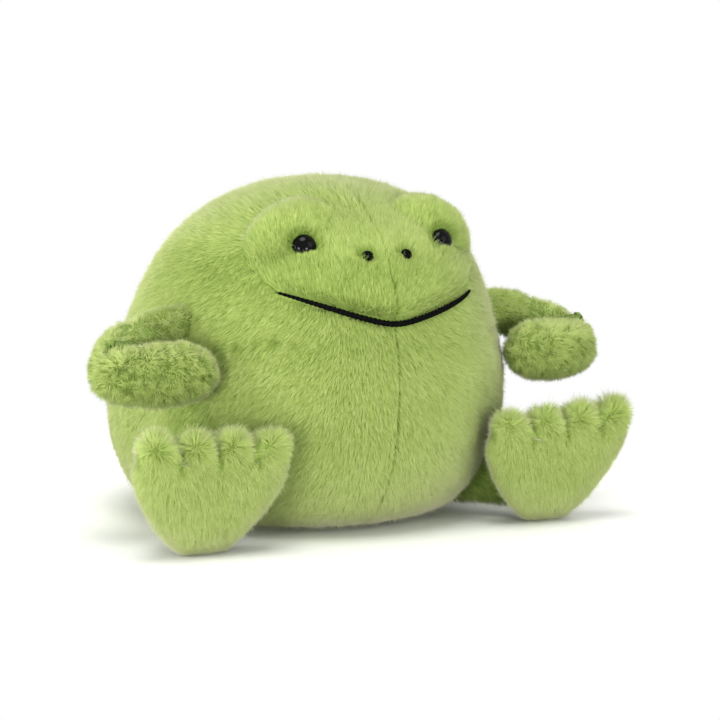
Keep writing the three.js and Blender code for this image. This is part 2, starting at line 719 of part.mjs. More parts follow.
for (const [name, side] of sides) {
  const half = halfSpace(side);
  const eyePlace = sunk(frontPlace(side * eyeOffset, eyeHeight), eyeSeatDepth);
  const eyeRoom = placed(lathe(eyeProfile(fitGap), eyeSides), eyePlace);
  const washerSeat = placed(lathe(washerSeatProfile(), washerSides), eyePlace);
  const washerRoom = placed(lathe(washerRoomProfile(), washerSides), eyePlace);
  const knotPlace = frontPlace(side * nostrilOffset, nostrilHeight);
  const knotRoom = placed(knotGeometry(fitGap), knotPlace);

  const browPanel = sidePanels.intersect(browPlug(side, -halfGap)).subtract(eyeRoom).subtract(washerSeat);
  frog.add(meshFromSolid(back.intersect(half), `${name}_back_panel`, furMaterial));
  frog.add(meshFromSolid(belly.intersect(half), `${name}_belly_panel`, furMaterial));
  frog.add(meshFromSolid(face.intersect(half).subtract(knotRoom), `${name}_muzzle_panel`, furMaterial));
  frog.add(meshFromSolid(browPanel, `${name}_brow_panel`, furMaterial));
  stuffing = stuffing.subtract(washerRoom).subtract(eyeRoom);

  const fittings = [
    [`${name}_eye`, lathe(eyeProfile(0), eyeSides), eyePlace, eyeMaterial],
    [`${name}_eye_washer`, lathe(washerProfile(0), washerSides), eyePlace, washerMaterial],
    [`${name}_nostril_knot`, knotGeometry(0), knotPlace, yarnMaterial],
  ];
  for (const [fittingName, geometry, place, material] of fittings) {
    const fitting = new THREE.Mesh(geometry, material);
    fitting.name = fittingName;
    fitting.position.copy(place.point);
    fitting.quaternion.copy(turnedTo(place.normal));
    frog.add(fitting);
  }

  const arm = new THREE.Group();
  arm.position.copy(shoulderPivot(side));
  const armShell = armSolid(side, 0).subtract(armSolid(side, clothThickness)).subtract(bodyRoom);
  const innerPanel = armShell.intersect(upPrism(armFoldOutline(side, -halfGap), 0, bodyHeight));
  const outerPanel = armShell.subtract(upPrism(armFoldOutline(side, halfGap), 0, bodyHeight));
  const armStuffing = armSolid(side, clothThickness + foldGap).subtract(bodyRoom);
  arm.add(meshFromSolid(innerPanel, `${name}_arm_inner_panel`, armMaterial, arm.position));
  arm.add(meshFromSolid(outerPanel, `${name}_arm_outer_panel`, armMaterial, arm.position));
  arm.add(meshFromSolid(armStuffing, `${name}_arm_stuffing`, paddingMaterial, arm.position));
  frog.add(arm);

  const leg = new THREE.Group();
  leg.position.copy(hipPivot(side));
  const around = bodyRoom.add(footSolid(side, -fitGap));
  const footShell = footSolid(side, 0).subtract(footSolid(side, clothThickness)).subtract(bodyRoom);
  const footCover = footShell.subtract(floorCut(0));
  const footSole = footCover.intersect(footHalf(side, true, halfGap));
  const footTop = footCover.intersect(footHalf(side, false, halfGap));
  const footStuffing = footSolid(side, clothThickness + fitGap);
  const legCover = legSolid(side, 0).subtract(legSolid(side, clothThickness)).subtract(around);
  const legStuffing = legSolid(side, clothThickness + fitGap).subtract(around);
  leg.add(meshFromSolid(footSole, `${name}_foot_sole`, soleMaterial, leg.position));
  leg.add(meshFromSolid(footTop, `${name}_foot_top`, soleMaterial, leg.position));
  leg.add(meshFromSolid(footStuffing, `${name}_foot_stuffing`, paddingMaterial, leg.position));
  leg.add(meshFromSolid(legCover, `${name}_leg_cover`, furMaterial, leg.position));
  leg.add(meshFromSolid(legStuffing, `${name}_leg_stuffing`, paddingMaterial, leg.position));
  frog.add(leg);
}

frog.add(meshFromSolid(stuffing, 'body_stuffing', paddingMaterial));

export default frog;
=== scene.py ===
import contextlib
import json
import math
import bmesh
import bpy
import numpy as np
from mathutils import Matrix, Vector
from mathutils.bvhtree import BVHTree

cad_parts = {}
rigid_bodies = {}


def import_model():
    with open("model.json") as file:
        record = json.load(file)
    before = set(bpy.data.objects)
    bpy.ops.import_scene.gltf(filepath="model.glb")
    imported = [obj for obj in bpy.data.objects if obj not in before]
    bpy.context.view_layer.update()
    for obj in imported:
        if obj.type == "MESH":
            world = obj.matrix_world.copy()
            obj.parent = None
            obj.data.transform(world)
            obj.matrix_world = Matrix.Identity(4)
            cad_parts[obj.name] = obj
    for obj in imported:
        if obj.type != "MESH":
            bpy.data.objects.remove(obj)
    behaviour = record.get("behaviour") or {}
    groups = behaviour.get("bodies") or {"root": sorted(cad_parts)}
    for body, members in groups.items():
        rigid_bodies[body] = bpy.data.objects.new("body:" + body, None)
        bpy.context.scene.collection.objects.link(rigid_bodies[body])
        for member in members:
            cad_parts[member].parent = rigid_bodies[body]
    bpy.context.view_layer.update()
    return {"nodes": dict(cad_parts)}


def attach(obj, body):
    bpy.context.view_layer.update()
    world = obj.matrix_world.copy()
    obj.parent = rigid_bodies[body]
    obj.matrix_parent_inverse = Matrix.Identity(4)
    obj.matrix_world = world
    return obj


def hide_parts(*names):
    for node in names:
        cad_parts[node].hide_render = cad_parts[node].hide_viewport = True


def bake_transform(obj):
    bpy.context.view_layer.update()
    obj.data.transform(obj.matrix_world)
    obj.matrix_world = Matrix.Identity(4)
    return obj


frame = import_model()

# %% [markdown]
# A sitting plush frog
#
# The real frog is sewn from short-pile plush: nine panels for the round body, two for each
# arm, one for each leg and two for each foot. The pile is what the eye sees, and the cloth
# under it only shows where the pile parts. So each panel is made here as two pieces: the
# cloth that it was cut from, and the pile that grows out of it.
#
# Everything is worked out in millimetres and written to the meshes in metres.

MM = 0.001
SIDES = {"left": 1, "right": -1}
print("solids in the frame:", len(frame["nodes"]))


def unit(values):
    values = np.asarray(values, float)
    return values / np.maximum(np.linalg.norm(values, axis=-1, keepdims=True), 1e-9)


def vectors(x, y, z):
    return np.stack(np.broadcast_arrays(x, y, z), -1)


def ease(values, low, high):
    share = np.clip((np.asarray(values, float) - low) / (high - low), 0, 1)
    return share * share * (3 - 2 * share)


def spline(points, shares):
    points = np.asarray(points, float)
    last = len(points) - 1
    place = np.clip(np.asarray(shares, float), 0, 1) * last
    index = np.clip(np.floor(place).astype(int), 0, last - 1)
    step = (place - index)[..., None]
    before, start = points[np.maximum(index - 1, 0)], points[index]
    end, after = points[index + 1], points[np.minimum(index + 2, last)]
    leave, arrive = (end - before) / 2, (after - start) / 2
    cubic = 2 * start - 2 * end + leave + arrive
    square = 3 * end - 3 * start - 2 * leave - arrive
    return ((cubic * step + square) * step + leave) * step + start


def add_object(name, data):
    made = bpy.data.objects.new(name, data)
    bpy.context.scene.collection.objects.link(made)
    return made


# %% [markdown]
# The camera
#
# The photograph was taken from the frog's front right, a little above it, with a long lens.
# The camera is set from the places of the eyes, the feet and the crown in the picture. It
# comes first because every later step is judged through it.

# %% Camera
camera_data = bpy.data.cameras.new("camera")
camera = add_object("camera", camera_data)
camera.location = (-0.4285, -0.8946, 0.1880)
aim = Vector((0.021706, -0.011060, 0.057466)) - camera.location
camera.rotation_euler = aim.to_track_quat("-Z", "Y").to_euler()
camera_data.sensor_width = 36
camera_data.lens = 128.2
camera_data.clip_end = 30
bpy.context.scene.camera = camera
print("camera distance in metres:", round(aim.length, 3))

# %% [markdown]
# Floor and light
#
# A product photograph like this one has a white sweep and broad soft lights. The floor takes
# the frog's soft shadow close by and turns into plain white further out, which the shader
# does for the camera alone, so that the floor throws no more light than a pale floor would.

# %% Floor
FADE_START, FADE_END = 0.12, 0.28


def clear_selection():
    if bpy.context.object and bpy.context.object.mode != "OBJECT":
        bpy.ops.object.mode_set(mode="OBJECT")
    bpy.ops.object.select_all(action="DESELECT")


clear_selection()
bpy.ops.mesh.primitive_plane_add(size=6, location=(0, 0, 0))
floor = bpy.context.object
floor.name = "floor"


def new_material(name):
    material = bpy.data.materials.new(name)
    material.use_nodes = True
    nodes, links = material.node_tree.nodes, material.node_tree.links
    return material, nodes, links, nodes["Principled BSDF"]


floor_paint, nodes, links, shader = new_material("studio_floor")
shader.inputs["Base Color"].default_value = (0.93, 0.935, 0.9, 1)
shader.inputs["Roughness"].default_value = 0.9
coordinates = nodes.new("ShaderNodeTexCoord")
distance = nodes.new("ShaderNodeVectorMath")
distance.operation = "LENGTH"
links.new(coordinates.outputs["Object"], distance.inputs[0])
fade = nodes.new("ShaderNodeMapRange")
fade.interpolation_type = "SMOOTHSTEP"
fade.inputs["From Min"].default_value = FADE_START
fade.inputs["From Max"].default_value = FADE_END
links.new(distance.outputs["Value"], fade.inputs["Value"])
path = nodes.new("ShaderNodeLightPath")
seen = nodes.new("ShaderNodeMath")
seen.operation = "MULTIPLY"
links.new(path.outputs["Is Camera Ray"], seen.inputs[0])
links.new(fade.outputs["Result"], seen.inputs[1])
white = nodes.new("ShaderNodeEmission")
blend_shader = nodes.new("ShaderNodeMixShader")
links.new(seen.outputs[0], blend_shader.inputs["Fac"])
links.new(shader.outputs[0], blend_shader.inputs[1])
links.new(white.outputs[0], blend_shader.inputs[2])
links.new(blend_shader.outputs[0], nodes["Material Output"].inputs["Surface"])
floor.data.materials.append(floor_paint)
print("the floor turns white between", FADE_START, "and", FADE_END, "m from the frog's middle")

# %% Lights
scene = bpy.context.scene
scene.view_settings.view_transform = "Standard"
world = bpy.data.worlds.new("studio")
world.use_nodes = True
scene.world = world
nodes, links = world.node_tree.nodes, world.node_tree.links
room_light = nodes["Background"]
room_light.inputs["Color"].default_value = (1, 1, 1, 1)
room_light.inputs["Strength"].default_value = 0.75
backdrop = nodes.new("ShaderNodeBackground")
backdrop.inputs["Color"].default_value = (1, 1, 1, 1)
backdrop.inputs["Strength"].default_value = 1
path = nodes.new("ShaderNodeLightPath")
choice = nodes.new("ShaderNodeMixShader")
links.new(path.outputs["Is Camera Ray"], choice.inputs["Fac"])
links.new(room_light.outputs[0], choice.inputs[1])
links.new(backdrop.outputs[0], choice.inputs[2])
links.new(choice.outputs[0], nodes["World Output"].inputs["Surface"])


def soft_lamp(name, place, size, power):
    lamp_data = bpy.data.lights.new(name, "AREA")
    lamp_data.shape = "DISK"
    lamp_data.size = size
    lamp_data.energy = power
    lamp = add_object(name, lamp_data)
    lamp.location = place
    towards = Vector((0, 0, 0.06)) - lamp.location
    lamp.rotation_euler = towards.to_track_quat("-Z", "Y").to_euler()
    print(name, power, "W,", size, "m across")


soft_lamp("key_lamp", (-0.2, -0.4, 1.2), 0.7, 8.5)
soft_lamp("fill_lamp", (0.65, -1.05, 0.6), 0.8, 2.5)
soft_lamp("left_low_lamp", (-0.9, -0.7, 0.1), 0.3, 4.5)
soft_lamp("right_low_lamp", (0.05, -1.2, 0.1), 0.3, 4.0)
soft_lamp("side_lamp", (-1.1, 0.2, 0.12), 0.8, 9.0)
soft_lamp("back_lamp", (0.4, 1.2, 0.6), 0.8, 3.0)

# %% [markdown]
# Pile and cloth finishes
#
# Plush is dyed in the piece, yet it never looks one colour: deep in the pile it lies in shade
# and looks a strong dark green, and the tips catch the light and look pale and greyish. Every
# strand therefore carries two numbers in its own map: how light its tuft is, across, and how far
# up the strand a point lies, along. Two ramps turn them into colour. The one along is painted
# shade, darkest at the root and white at the tip; the one across gives each tuft its tone, with
# the painted light and shade that the pile's parts below add to it. So the finish needs no other
# pattern.
# The rough shader has sheen, which is what makes short pile glow at the frog's outline.

# %% Pile finish
def ramp(nodes, stops):
    node = nodes.new("ShaderNodeValToRGB")
    elements = node.color_ramp.elements
    while len(elements) < len(stops):
        elements.new(0.5)
    for element, (place, colour) in zip(elements, stops):
        element.position = place
        element.color = (*colour, 1)
    return node


def pile_finish(name, deep, middle, pale, root_shade, sheen):
    material, nodes, links, shader = new_material(name)
    own_map = nodes.new("ShaderNodeUVMap")
    own_map.uv_map = "OFBake"
    split = nodes.new("ShaderNodeSeparateXYZ")
    links.new(own_map.outputs["UV"], split.inputs[0])
    tuft = ramp(nodes, [(0.0, deep), (0.5, middle), (1.0, pale)])
    # Painted shade along each strand: darkest at the root, deep in the pile, white at the tip
    depth = ramp(nodes, [
        (0.0, (root_shade, root_shade * 1.02, root_shade * 0.9)), (0.5, (0.84, 0.86, 0.8)),
        (1.0, (1, 1, 1)),
    ])
    links.new(split.outputs["X"], tuft.inputs["Fac"])
    links.new(split.outputs["Y"], depth.inputs["Fac"])
    product = nodes.new("ShaderNodeMix")
    product.data_type = "RGBA"
    product.blend_type = "MULTIPLY"
    product.inputs["Factor"].default_value = 1
    links.new(tuft.outputs["Color"], product.inputs[6])
    links.new(depth.outputs["Color"], product.inputs[7])
    links.new(product.outputs[2], shader.inputs["Base Color"])
    shader.inputs["Roughness"].default_value = 0.85
    shader.inputs["Specular IOR Level"].default_value = 0.25
    shader.inputs["Sheen Weight"].default_value = sheen
    shader.inputs["Sheen Roughness"].default_value = 0.45
    shader.inputs["Sheen Tint"].default_value = (1.0, 0.88, 0.76, 1)
    return material


body_pile = pile_finish("body_pile", (0.22, 0.34, 0.05), (0.52, 0.66, 0.18), (0.74, 0.83, 0.36),
                        root_shade=0.58, sheen=0.5)
arm_pile = pile_finish("arm_pile", (0.15, 0.24, 0.035), (0.46, 0.59, 0.15), (0.64, 0.74, 0.28),
                       root_shade=0.5, sheen=0.3)
print("pile finishes:", body_pile.name, arm_pile.name)


# %% Cloth, thread, fill and button finishes
def woven_finish(name, colour, roughness, scale, bump, sheen=0.0, spread=0.12, shine=0.5):
    material, nodes, links, shader = new_material(name)
    coordinates = nodes.new("ShaderNodeTexCoord")
    grain = nodes.new("ShaderNodeTexNoise")
    grain.inputs["Scale"].default_value = scale
    grain.inputs["Detail"].default_value = 3
    links.new(coordinates.outputs["Object"], grain.inputs["Vector"])
    dark = tuple(max(0, c * (1 - spread)) for c in colour)
    light = tuple(min(1, c * (1 + spread)) for c in colour)
    tint = ramp(nodes, [(0.3, dark), (0.7, light)])
    links.new(grain.outputs["Fac"], tint.inputs["Fac"])
    links.new(tint.outputs["Color"], shader.inputs["Base Color"])
    relief = nodes.new("ShaderNodeBump")
    relief.inputs["Strength"].default_value = bump
    relief.inputs["Distance"].default_value = 0.0003
    links.new(grain.outputs["Fac"], relief.inputs["Height"])
    links.new(relief.outputs["Normal"], shader.inputs["Normal"])
    shader.inputs["Roughness"].default_value = roughness
    shader.inputs["Sheen Weight"].default_value = sheen
    shader.inputs["Specular IOR Level"].default_value = shine
    return material


backing_cloth = woven_finish("backing_cloth", (0.26, 0.37, 0.07), 0.95, 2600, 0.5)
arm_backing = woven_finish("arm_backing", (0.15, 0.23, 0.04), 0.95, 2600, 0.5)
fibre_fill = woven_finish("fibre_fill", (0.86, 0.86, 0.83), 1.0, 700, 0.8,
                          sheen=0.3, spread=0.06)
bag_cloth = woven_finish("bag_cloth", (0.70, 0.68, 0.62), 0.9, 1800, 0.6)
black_yarn = woven_finish("black_yarn", (0.003, 0.003, 0.003), 0.95, 1500, 0.7,
                          spread=0.5, shine=0.05)
eye_gloss = woven_finish("eye_gloss", (0.001, 0.001, 0.001), 0.07, 120, 0.02,
                         spread=0.3, shine=0.13)
washer_plastic = woven_finish("washer_plastic", (0.78, 0.78, 0.75), 0.5, 300, 0.15, spread=0.04)
print("other finishes:", backing_cloth.name, arm_backing.name, fibre_fill.name, bag_cloth.name,
      black_yarn.name, eye_gloss.name, washer_plastic.name)

# %% [markdown]
# The body's form
#
# The stuffed body is an egg that leans back as it rises, with two brow mounds and a lip that
# bulges over the mouth. The solids were drawn from one profile and a few bulges, and the same
# profile and bulges are written again here, because the pile has to grow from a smooth form
# and not from the flat facets of the solids.

# %% Egg, brows and lip
HALF_WIDTH, HEIGHT, DEPTH_SHARE, LEAN = 75.8, 131.0, 1.04, -0.15
PROFILE = np.array([
    [0.59, 0], [0.745, 0.025], [0.85, 0.07], [0.925, 0.14], [0.98, 0.23], [1, 0.32], [0.99, 0.43],
    [0.938, 0.55], [0.862, 0.68], [0.778, 0.777], [0.695, 0.84], [0.592, 0.892], [0.465, 0.937],
    [0.27, 0.98], [0, 1],
]) * (HALF_WIDTH, HEIGHT)
profile_line = spline(PROFILE, np.linspace(0, 1, 600))
profile_steps = np.linalg.norm(np.diff(profile_line, axis=0), axis=1)
profile_run = np.concatenate([[0], np.cumsum(profile_steps)])
profile_run /= profile_run[-1]
MOUTH_HALF, MOUTH_HEIGHT, MOUTH_RISE, MOUTH_BEND = 39.5, 80.4, 11.5, 8
LIP_BULGE, LIP_HALF, LIP_TALL = 3.2, 48, 38
BROW_OFFSET, BROW_HEIGHT, BROW_TILT = 31.0, 114.5, math.radians(27)
BROW_LONG, BROW_WIDE, BROW_REACH, BROW_BULGE = 20.0, 12.5, 16.0, 7.5


def ring_radius(height):
    return np.interp(height, profile_line[:, 1], profile_line[:, 0])


def mouth_height(x):
    reach = math.hypot(MOUTH_HALF, MOUTH_BEND) - MOUTH_BEND
    return MOUTH_HEIGHT + MOUTH_RISE * (np.hypot(x, MOUTH_BEND) - MOUTH_BEND) / reach


def plain_front(x, height):
    x, height = np.broadcast_arrays(np.asarray(x, float), np.asarray(height, float))
    radius = np.maximum(ring_radius(height), 1e-3)
    depth = radius * DEPTH_SHARE * np.sqrt(np.maximum(0, 1 - (x / radius) ** 2))
    return np.stack([x, LEAN * height - depth, height], -1)


def facing(surface, x, height):
    """The outward normal of a surface, from four places half a millimetre around"""
    step = 0.5
    across = surface(x + step, height) - surface(x - step, height)
    up = surface(x, height + step) - surface(x, height - step)
    return unit(np.cross(across, up))


brow_middle = plain_front(BROW_OFFSET, BROW_HEIGHT)
brow_out = facing(plain_front, BROW_OFFSET, BROW_HEIGHT)
brow_down = unit(np.cross(brow_out, (-math.cos(BROW_TILT), 0, math.sin(BROW_TILT))))
brow_axes = np.stack([np.cross(brow_down, brow_out), brow_down, brow_out], -1)


def in_brow(points):
    """Places measured along the left brow's own axes; the right side is mirrored onto it"""
    mirrored = np.array(points, float)
    mirrored[..., 0] = np.abs(mirrored[..., 0])
    return (mirrored - brow_middle) @ brow_axes


def face_relief(points):
    """How far the brow mounds and the lip stand out of the egg"""
    local = in_brow(points) / (BROW_LONG, BROW_WIDE, BROW_REACH)
    brow = BROW_BULGE * np.maximum(0, 1 - (local ** 2).sum(-1))
    across = np.abs(points[..., 0])
    above = points[..., 2] - mouth_height(across)
    lip = LIP_BULGE * np.minimum(1, above / 4) * (1 - above / LIP_TALL)
    lip = lip * (1 - (across / LIP_HALF) ** 2)
    lip = np.where((above > 0) & (above < LIP_TALL) & (across < LIP_HALF), lip, 0)
    return np.where(points[..., 1] > 0, 0, brow + lip)


def front_place(x, height):
    outward = facing(plain_front, x, height)

    def raised(px, pz):
        plain = plain_front(px, pz)
        return plain + outward * face_relief(plain)[..., None]

    return raised(x, height), facing(raised, x, height)


def body_grid():
    around, along = 288, 170
    share = np.linspace(0, 0.999, along)
    ring = np.stack([np.interp(share, profile_run, profile_line[:, k]) for k in (0, 1)], -1)
    tangent = unit(np.gradient(ring, axis=0))
    angle = np.linspace(0, 2 * np.pi, around + 1)[None, :]
    nx, nz, r, z = tangent[:, 1:], -tangent[:, :1], ring[:, :1], ring[:, 1:]
    outward = unit(vectors(np.cos(angle) * nx, np.sin(angle) * nx / DEPTH_SHARE, nz))
    points = vectors(np.cos(angle) * r, np.sin(angle) * r * DEPTH_SHARE + LEAN * z, z)
    return points + outward * face_relief(points)[..., None]


body_form = body_grid()
print("body form in mm:", np.round(body_form.min((0, 1)), 1), np.round(body_form.max((0, 1)), 1))


def inside_body(points, margin):
    radius = ring_radius(points[..., 2]) + margin
    span = np.hypot(points[..., 0], (points[..., 1] - LEAN * points[..., 2]) / DEPTH_SHARE)
    return (span < radius) & (points[..., 2] < HEIGHT)


# %% [markdown]
# The form of arms, legs and feet
#
# Each limb is a stuffed tube swept along a route, and each foot is a flat puffed pad whose
# edge is drawn in between four toes. These repeat the solids in the same way.

# %% Arms and legs
def limb_grid(route, sizes, tip_share, along=110, around=96):
    """A tube on a route whose end is rounded off from the given share of its length on"""
    share = np.linspace(0, 1, along)
    tip = np.clip((share - tip_share) / (1 - tip_share), 0, 1) * np.pi / 2
    station = np.minimum(share, tip_share) + (1 - tip_share) * np.sin(tip)
    middle, size = spline(route, station), spline(sizes, station)
    run = unit(spline(route, station + 2e-3) - spline(route, station - 2e-3))
    level = unit(np.cross((0, 0, 1), run))[:, None]
    upright = np.cross(run[:, None], level)
    full = np.maximum(np.cos(tip), 0.03)[:, None] * size
    angle = np.linspace(0, 2 * np.pi, around + 1)
    across = full[:, :1] * np.cos(angle)
    up = full[:, 1:] * np.sin(angle)
    return middle[:, None] + level * across[..., None] + upright * up[..., None]


ARM_ROOT_DEPTH, ARM_ROOT_HEIGHT = -36, 77
ARM_SPAN = (29.5, -20, -12.9)
ARM_ROUTE = np.array([
    [-0.2, 0, 0], [0.18, 0.01, 0.02], [0.48, 0.06, 0.25], [0.82, 0.13, 0.56], [1, 0.46, 1],
    [0.92, 0.85, 1.05], [0.5, 1, 1.06], [0.08, 1.1, 0.96], [-0.16, 1.2, 0.78],
])
ARM_SIZES = np.array([
    [0.4, 0.72], [0.6, 0.72], [0.76, 0.76], [0.86, 0.82], [0.96, 0.85], [1, 0.9], [1, 1],
    [0.88, 0.9], [0.72, 0.78],
]) * (9.4, 12.2)
HIP_ACROSS, HIP_HEIGHT, LEG_YAW = 57.0, 17.0, math.radians(49)
LEG_STATIONS, LEG_SIZE = [[-12], [4], [20], [36]], (12.0, 14.0)
ARM_TIP_FROM, LEG_TIP_FROM = 0.84, 0.86


def flank(side, depth, height):
    radius = ring_radius(height)
    forward = (depth - LEAN * height) / (radius * DEPTH_SHARE)
    return np.array([side * radius * math.sqrt(1 - forward ** 2), depth, height])


def arm_form(side):
    root = flank(side, ARM_ROOT_DEPTH, ARM_ROOT_HEIGHT)
    return limb_grid(root + ARM_ROUTE * ARM_SPAN * (side, 1, 1), ARM_SIZES, ARM_TIP_FROM)


def leg_line(side):
    """Where a leg leaves the body, and the level direction in which it runs"""
    hip = plain_front(side * HIP_ACROSS, HIP_HEIGHT)
    return hip, np.array([side * math.cos(LEG_YAW), -math.sin(LEG_YAW), 0])


def leg_form(side):
    hip, ahead = leg_line(side)
    route, sizes = hip + ahead * np.array(LEG_STATIONS), np.full((len(LEG_STATIONS), 2), LEG_SIZE)
    return limb_grid(route, sizes, LEG_TIP_FROM, along=48, around=72)


for name, side in SIDES.items():
    tip, (hip, ahead) = arm_form(side)[-1].mean(0), leg_line(side)
    print(name, "hand's tip in mm:", np.round(tip, 1), "hip:", np.round(hip, 1))


# %% Feet
FOOT_HALF, FOOT_TALL, FOOT_THICK_HALF = 30.4, 47.5, 10.0
FOOT_LEAN, FOOT_ACROSS, FOOT_AHEAD = math.radians(19), 71.0, 67.0
FOOT_SIDE = np.array([
    [0, -0.01], [0.28, 0.02], [0.5, 0.13], [0.7, 0.29], [0.87, 0.47], [0.98, 0.65], [1, 0.78],
]) * (FOOT_HALF, FOOT_TALL)
FOOT_SPLAY = 1.6
TOE_RADIUS, TOE_TOP, TOE_OVERLAP, TOE_WEB = 7.2, 40.3, 0.6, 0.8
TOE_PITCH = 2 * (FOOT_HALF - TOE_RADIUS - TOE_OVERLAP) / 3


def foot_outline(parting):
    """The foot seen flat, from its heel round; parting is how deep the toes are divided"""
    edge_steps, toe_steps = 40, 24
    line = spline(FOOT_SIDE, np.linspace(0, 1, 200))
    run = np.concatenate([[0], np.cumsum(np.linalg.norm(np.diff(line, axis=0), axis=1))])
    spaced = np.linspace(0, run[-1], edge_steps)
    points = [np.stack([np.interp(spaced, run, line[:, k]) for k in (0, 1)], -1)]
    valley = math.acos(TOE_PITCH / 2 / (TOE_RADIUS + TOE_OVERLAP))
    for toe in (3, 2):
        first = 0 if toe == 3 else valley
        angle = first + (np.pi - valley - first) * (np.arange(toe_steps) + 0.5) / toe_steps
        height, outer = np.sin(angle), (toe == 3) & (angle < np.pi / 2)
        level = np.where(outer, np.minimum(height, TOE_WEB), TOE_WEB)
        peak = (height - math.sin(valley)) / (1 - math.sin(valley))
        rise = level + (np.maximum(np.where(outer, height, peak), 0) - level) * parting
        middle = TOE_PITCH * (toe - 1.5)
        points.append(np.stack([
            middle + (TOE_RADIUS + TOE_OVERLAP) * np.cos(angle), TOE_TOP + TOE_RADIUS * rise,
        ], -1))
    half = np.concatenate(points)
    return np.concatenate([half, half[1:][::-1] * (-1, 1), half[:1]])


def foot_frame(side):
    turn = np.array([
        [1, 0, 0], [0, math.cos(FOOT_LEAN), -math.sin(FOOT_LEAN)],
        [0, math.sin(FOOT_LEAN), math.cos(FOOT_LEAN)],
    ])
    return turn, np.array([side * FOOT_ACROSS, -FOOT_AHEAD, 0.0])


def foot_form(side, inset=0.0):
    """The foot's skin, or a smaller form that lies the inset in mm under it"""
    rows = 90
    turn, place = foot_frame(side)
    centre = np.array([0, FOOT_TALL / 2])
    grid = []
    for angle in np.linspace(0.004, np.pi - 0.004, rows):
        reach = math.sin(angle) ** 0.75
        outline = foot_outline(reach ** 5)
        spoke = outline - centre
        spoke = (spoke - unit(spoke) * inset) * reach
        splay = FOOT_SPLAY * reach * side * outline[:, 0] / FOOT_HALF * outline[:, 1] / FOOT_TALL
        depth = -math.cos(angle) * (FOOT_THICK_HALF - inset)
        grid.append(vectors(spoke[:, 0], depth, centre[1] + spoke[:, 1] + splay))
    return np.array(grid) @ turn.T + place


for name, side in SIDES.items():
    grid = foot_form(side)
    print(name, "foot in mm:", np.round(grid.min((0, 1)), 1), np.round(grid.max((0, 1)), 1))


# %% [markdown]
# How pile is grown
#
# Real plush has hundreds of fine hairs to the square millimetre. That many can't be drawn,
# and at this distance they run together into strands a quarter of a millimetre wide. Each
# strand is a slim spike of three faces, open only where it stands in the cloth, so that it
# shows an outside from wherever it is seen. Hair particles would be quicker to make, but they
# are no mesh and would be lost when the frog is used elsewhere, so the spikes are written
# straight into the mesh. That is the one place where operators can't do the job.
#
# Three things make it look like plush and not like grass: neighbours lean to the same tuft,
# tufts differ a little in shade, and every strand shades mostly like the form it grows on.

# %% Scatter roots
LATTICE_SIZE = 32
LATTICE = np.random.default_rng(11).random((LATTICE_SIZE,) * 3)


def drift(points, size, shift=0.0):
    """Smooth random values from -1 to 1 that change over about the given size in mm"""
    place = np.asarray(points, float) / size + shift
    cell = np.floor(place).astype(int)
    part = place - cell
    part = part * part * (3 - 2 * part)
    total = 0
    for corner in np.ndindex(2, 2, 2):
        index = tuple((cell[..., k] + corner[k]) % LATTICE_SIZE for k in range(3))
        shares = [part[..., k] if corner[k] else 1 - part[..., k] for k in range(3)]
        total = total + LATTICE[index] * np.prod(shares, axis=0)
    return total * 2 - 1


def wander(points, size, first, step=1):
    """Three drifts as one smooth random vector"""
    return np.stack([drift(points, size, first + step * k) for k in range(3)], -1)


def grid_ahead(grid):
    """The direction of each row; a row is usually a closed ring whose last place is its first"""
    if np.allclose(grid[:, 0], grid[:, -1]):
        closing = grid[:, 1:2] - grid[:, -2:-1]
        return np.concatenate([closing, grid[:, 2:] - grid[:, :-2], closing], 1)
    return np.gradient(grid, axis=1)


def form_normals(grid, centre=None):
    normal = unit(np.cross(grid_ahead(grid), np.gradient(grid, axis=0)))
    if centre is None:
        centre = grid.reshape(-1, 3).mean(0)
    return normal * np.sign(((grid - centre) * normal).sum())


def scatter(grid, count, rng, centre=None):
    """Random places on a form, with the outward normal and the direction of its rows"""
    down, normal = np.gradient(grid, axis=0), form_normals(grid, centre)
    a, b, c, d = grid[:-1, :-1], grid[1:, :-1], grid[1:, 1:], grid[:-1, 1:]
    area = np.linalg.norm(np.cross(c - a, d - b), axis=-1) / 2
    picks = rng.choice(area.size, count, p=(area / area.sum()).ravel())
    row, column = np.unravel_index(picks, area.shape)
    u, v = rng.random((2, count, 1))

    def between(values):
        low = values[row, column] * (1 - v) + values[row, column + 1] * v
        high = values[row + 1, column] * (1 - v) + values[row + 1, column + 1] * v
        return low * (1 - u) + high * u

    return {"place": between(grid), "out": unit(between(normal)), "run": unit(between(down)),
            "row": (row + u[:, 0]) / (grid.shape[0] - 1),
            "column": (column + v[:, 0]) / (grid.shape[1] - 1), "area": area.sum()}


def keep(roots, mask):
    return {key: value[mask] if np.ndim(value) else value for key, value in roots.items()}


def lie(direction, out):
    """The part of a direction that lies in the surface"""
    direction = np.broadcast_to(direction, out.shape)
    return unit(direction - out * (direction * out).sum(-1, keepdims=True))


# %% Grow strands
STRAND_WIDTH = 0.26
LOOSE_SHARE = 0.05
FORM_SHARE = 0.56
LOWEST_PILE = 0.08


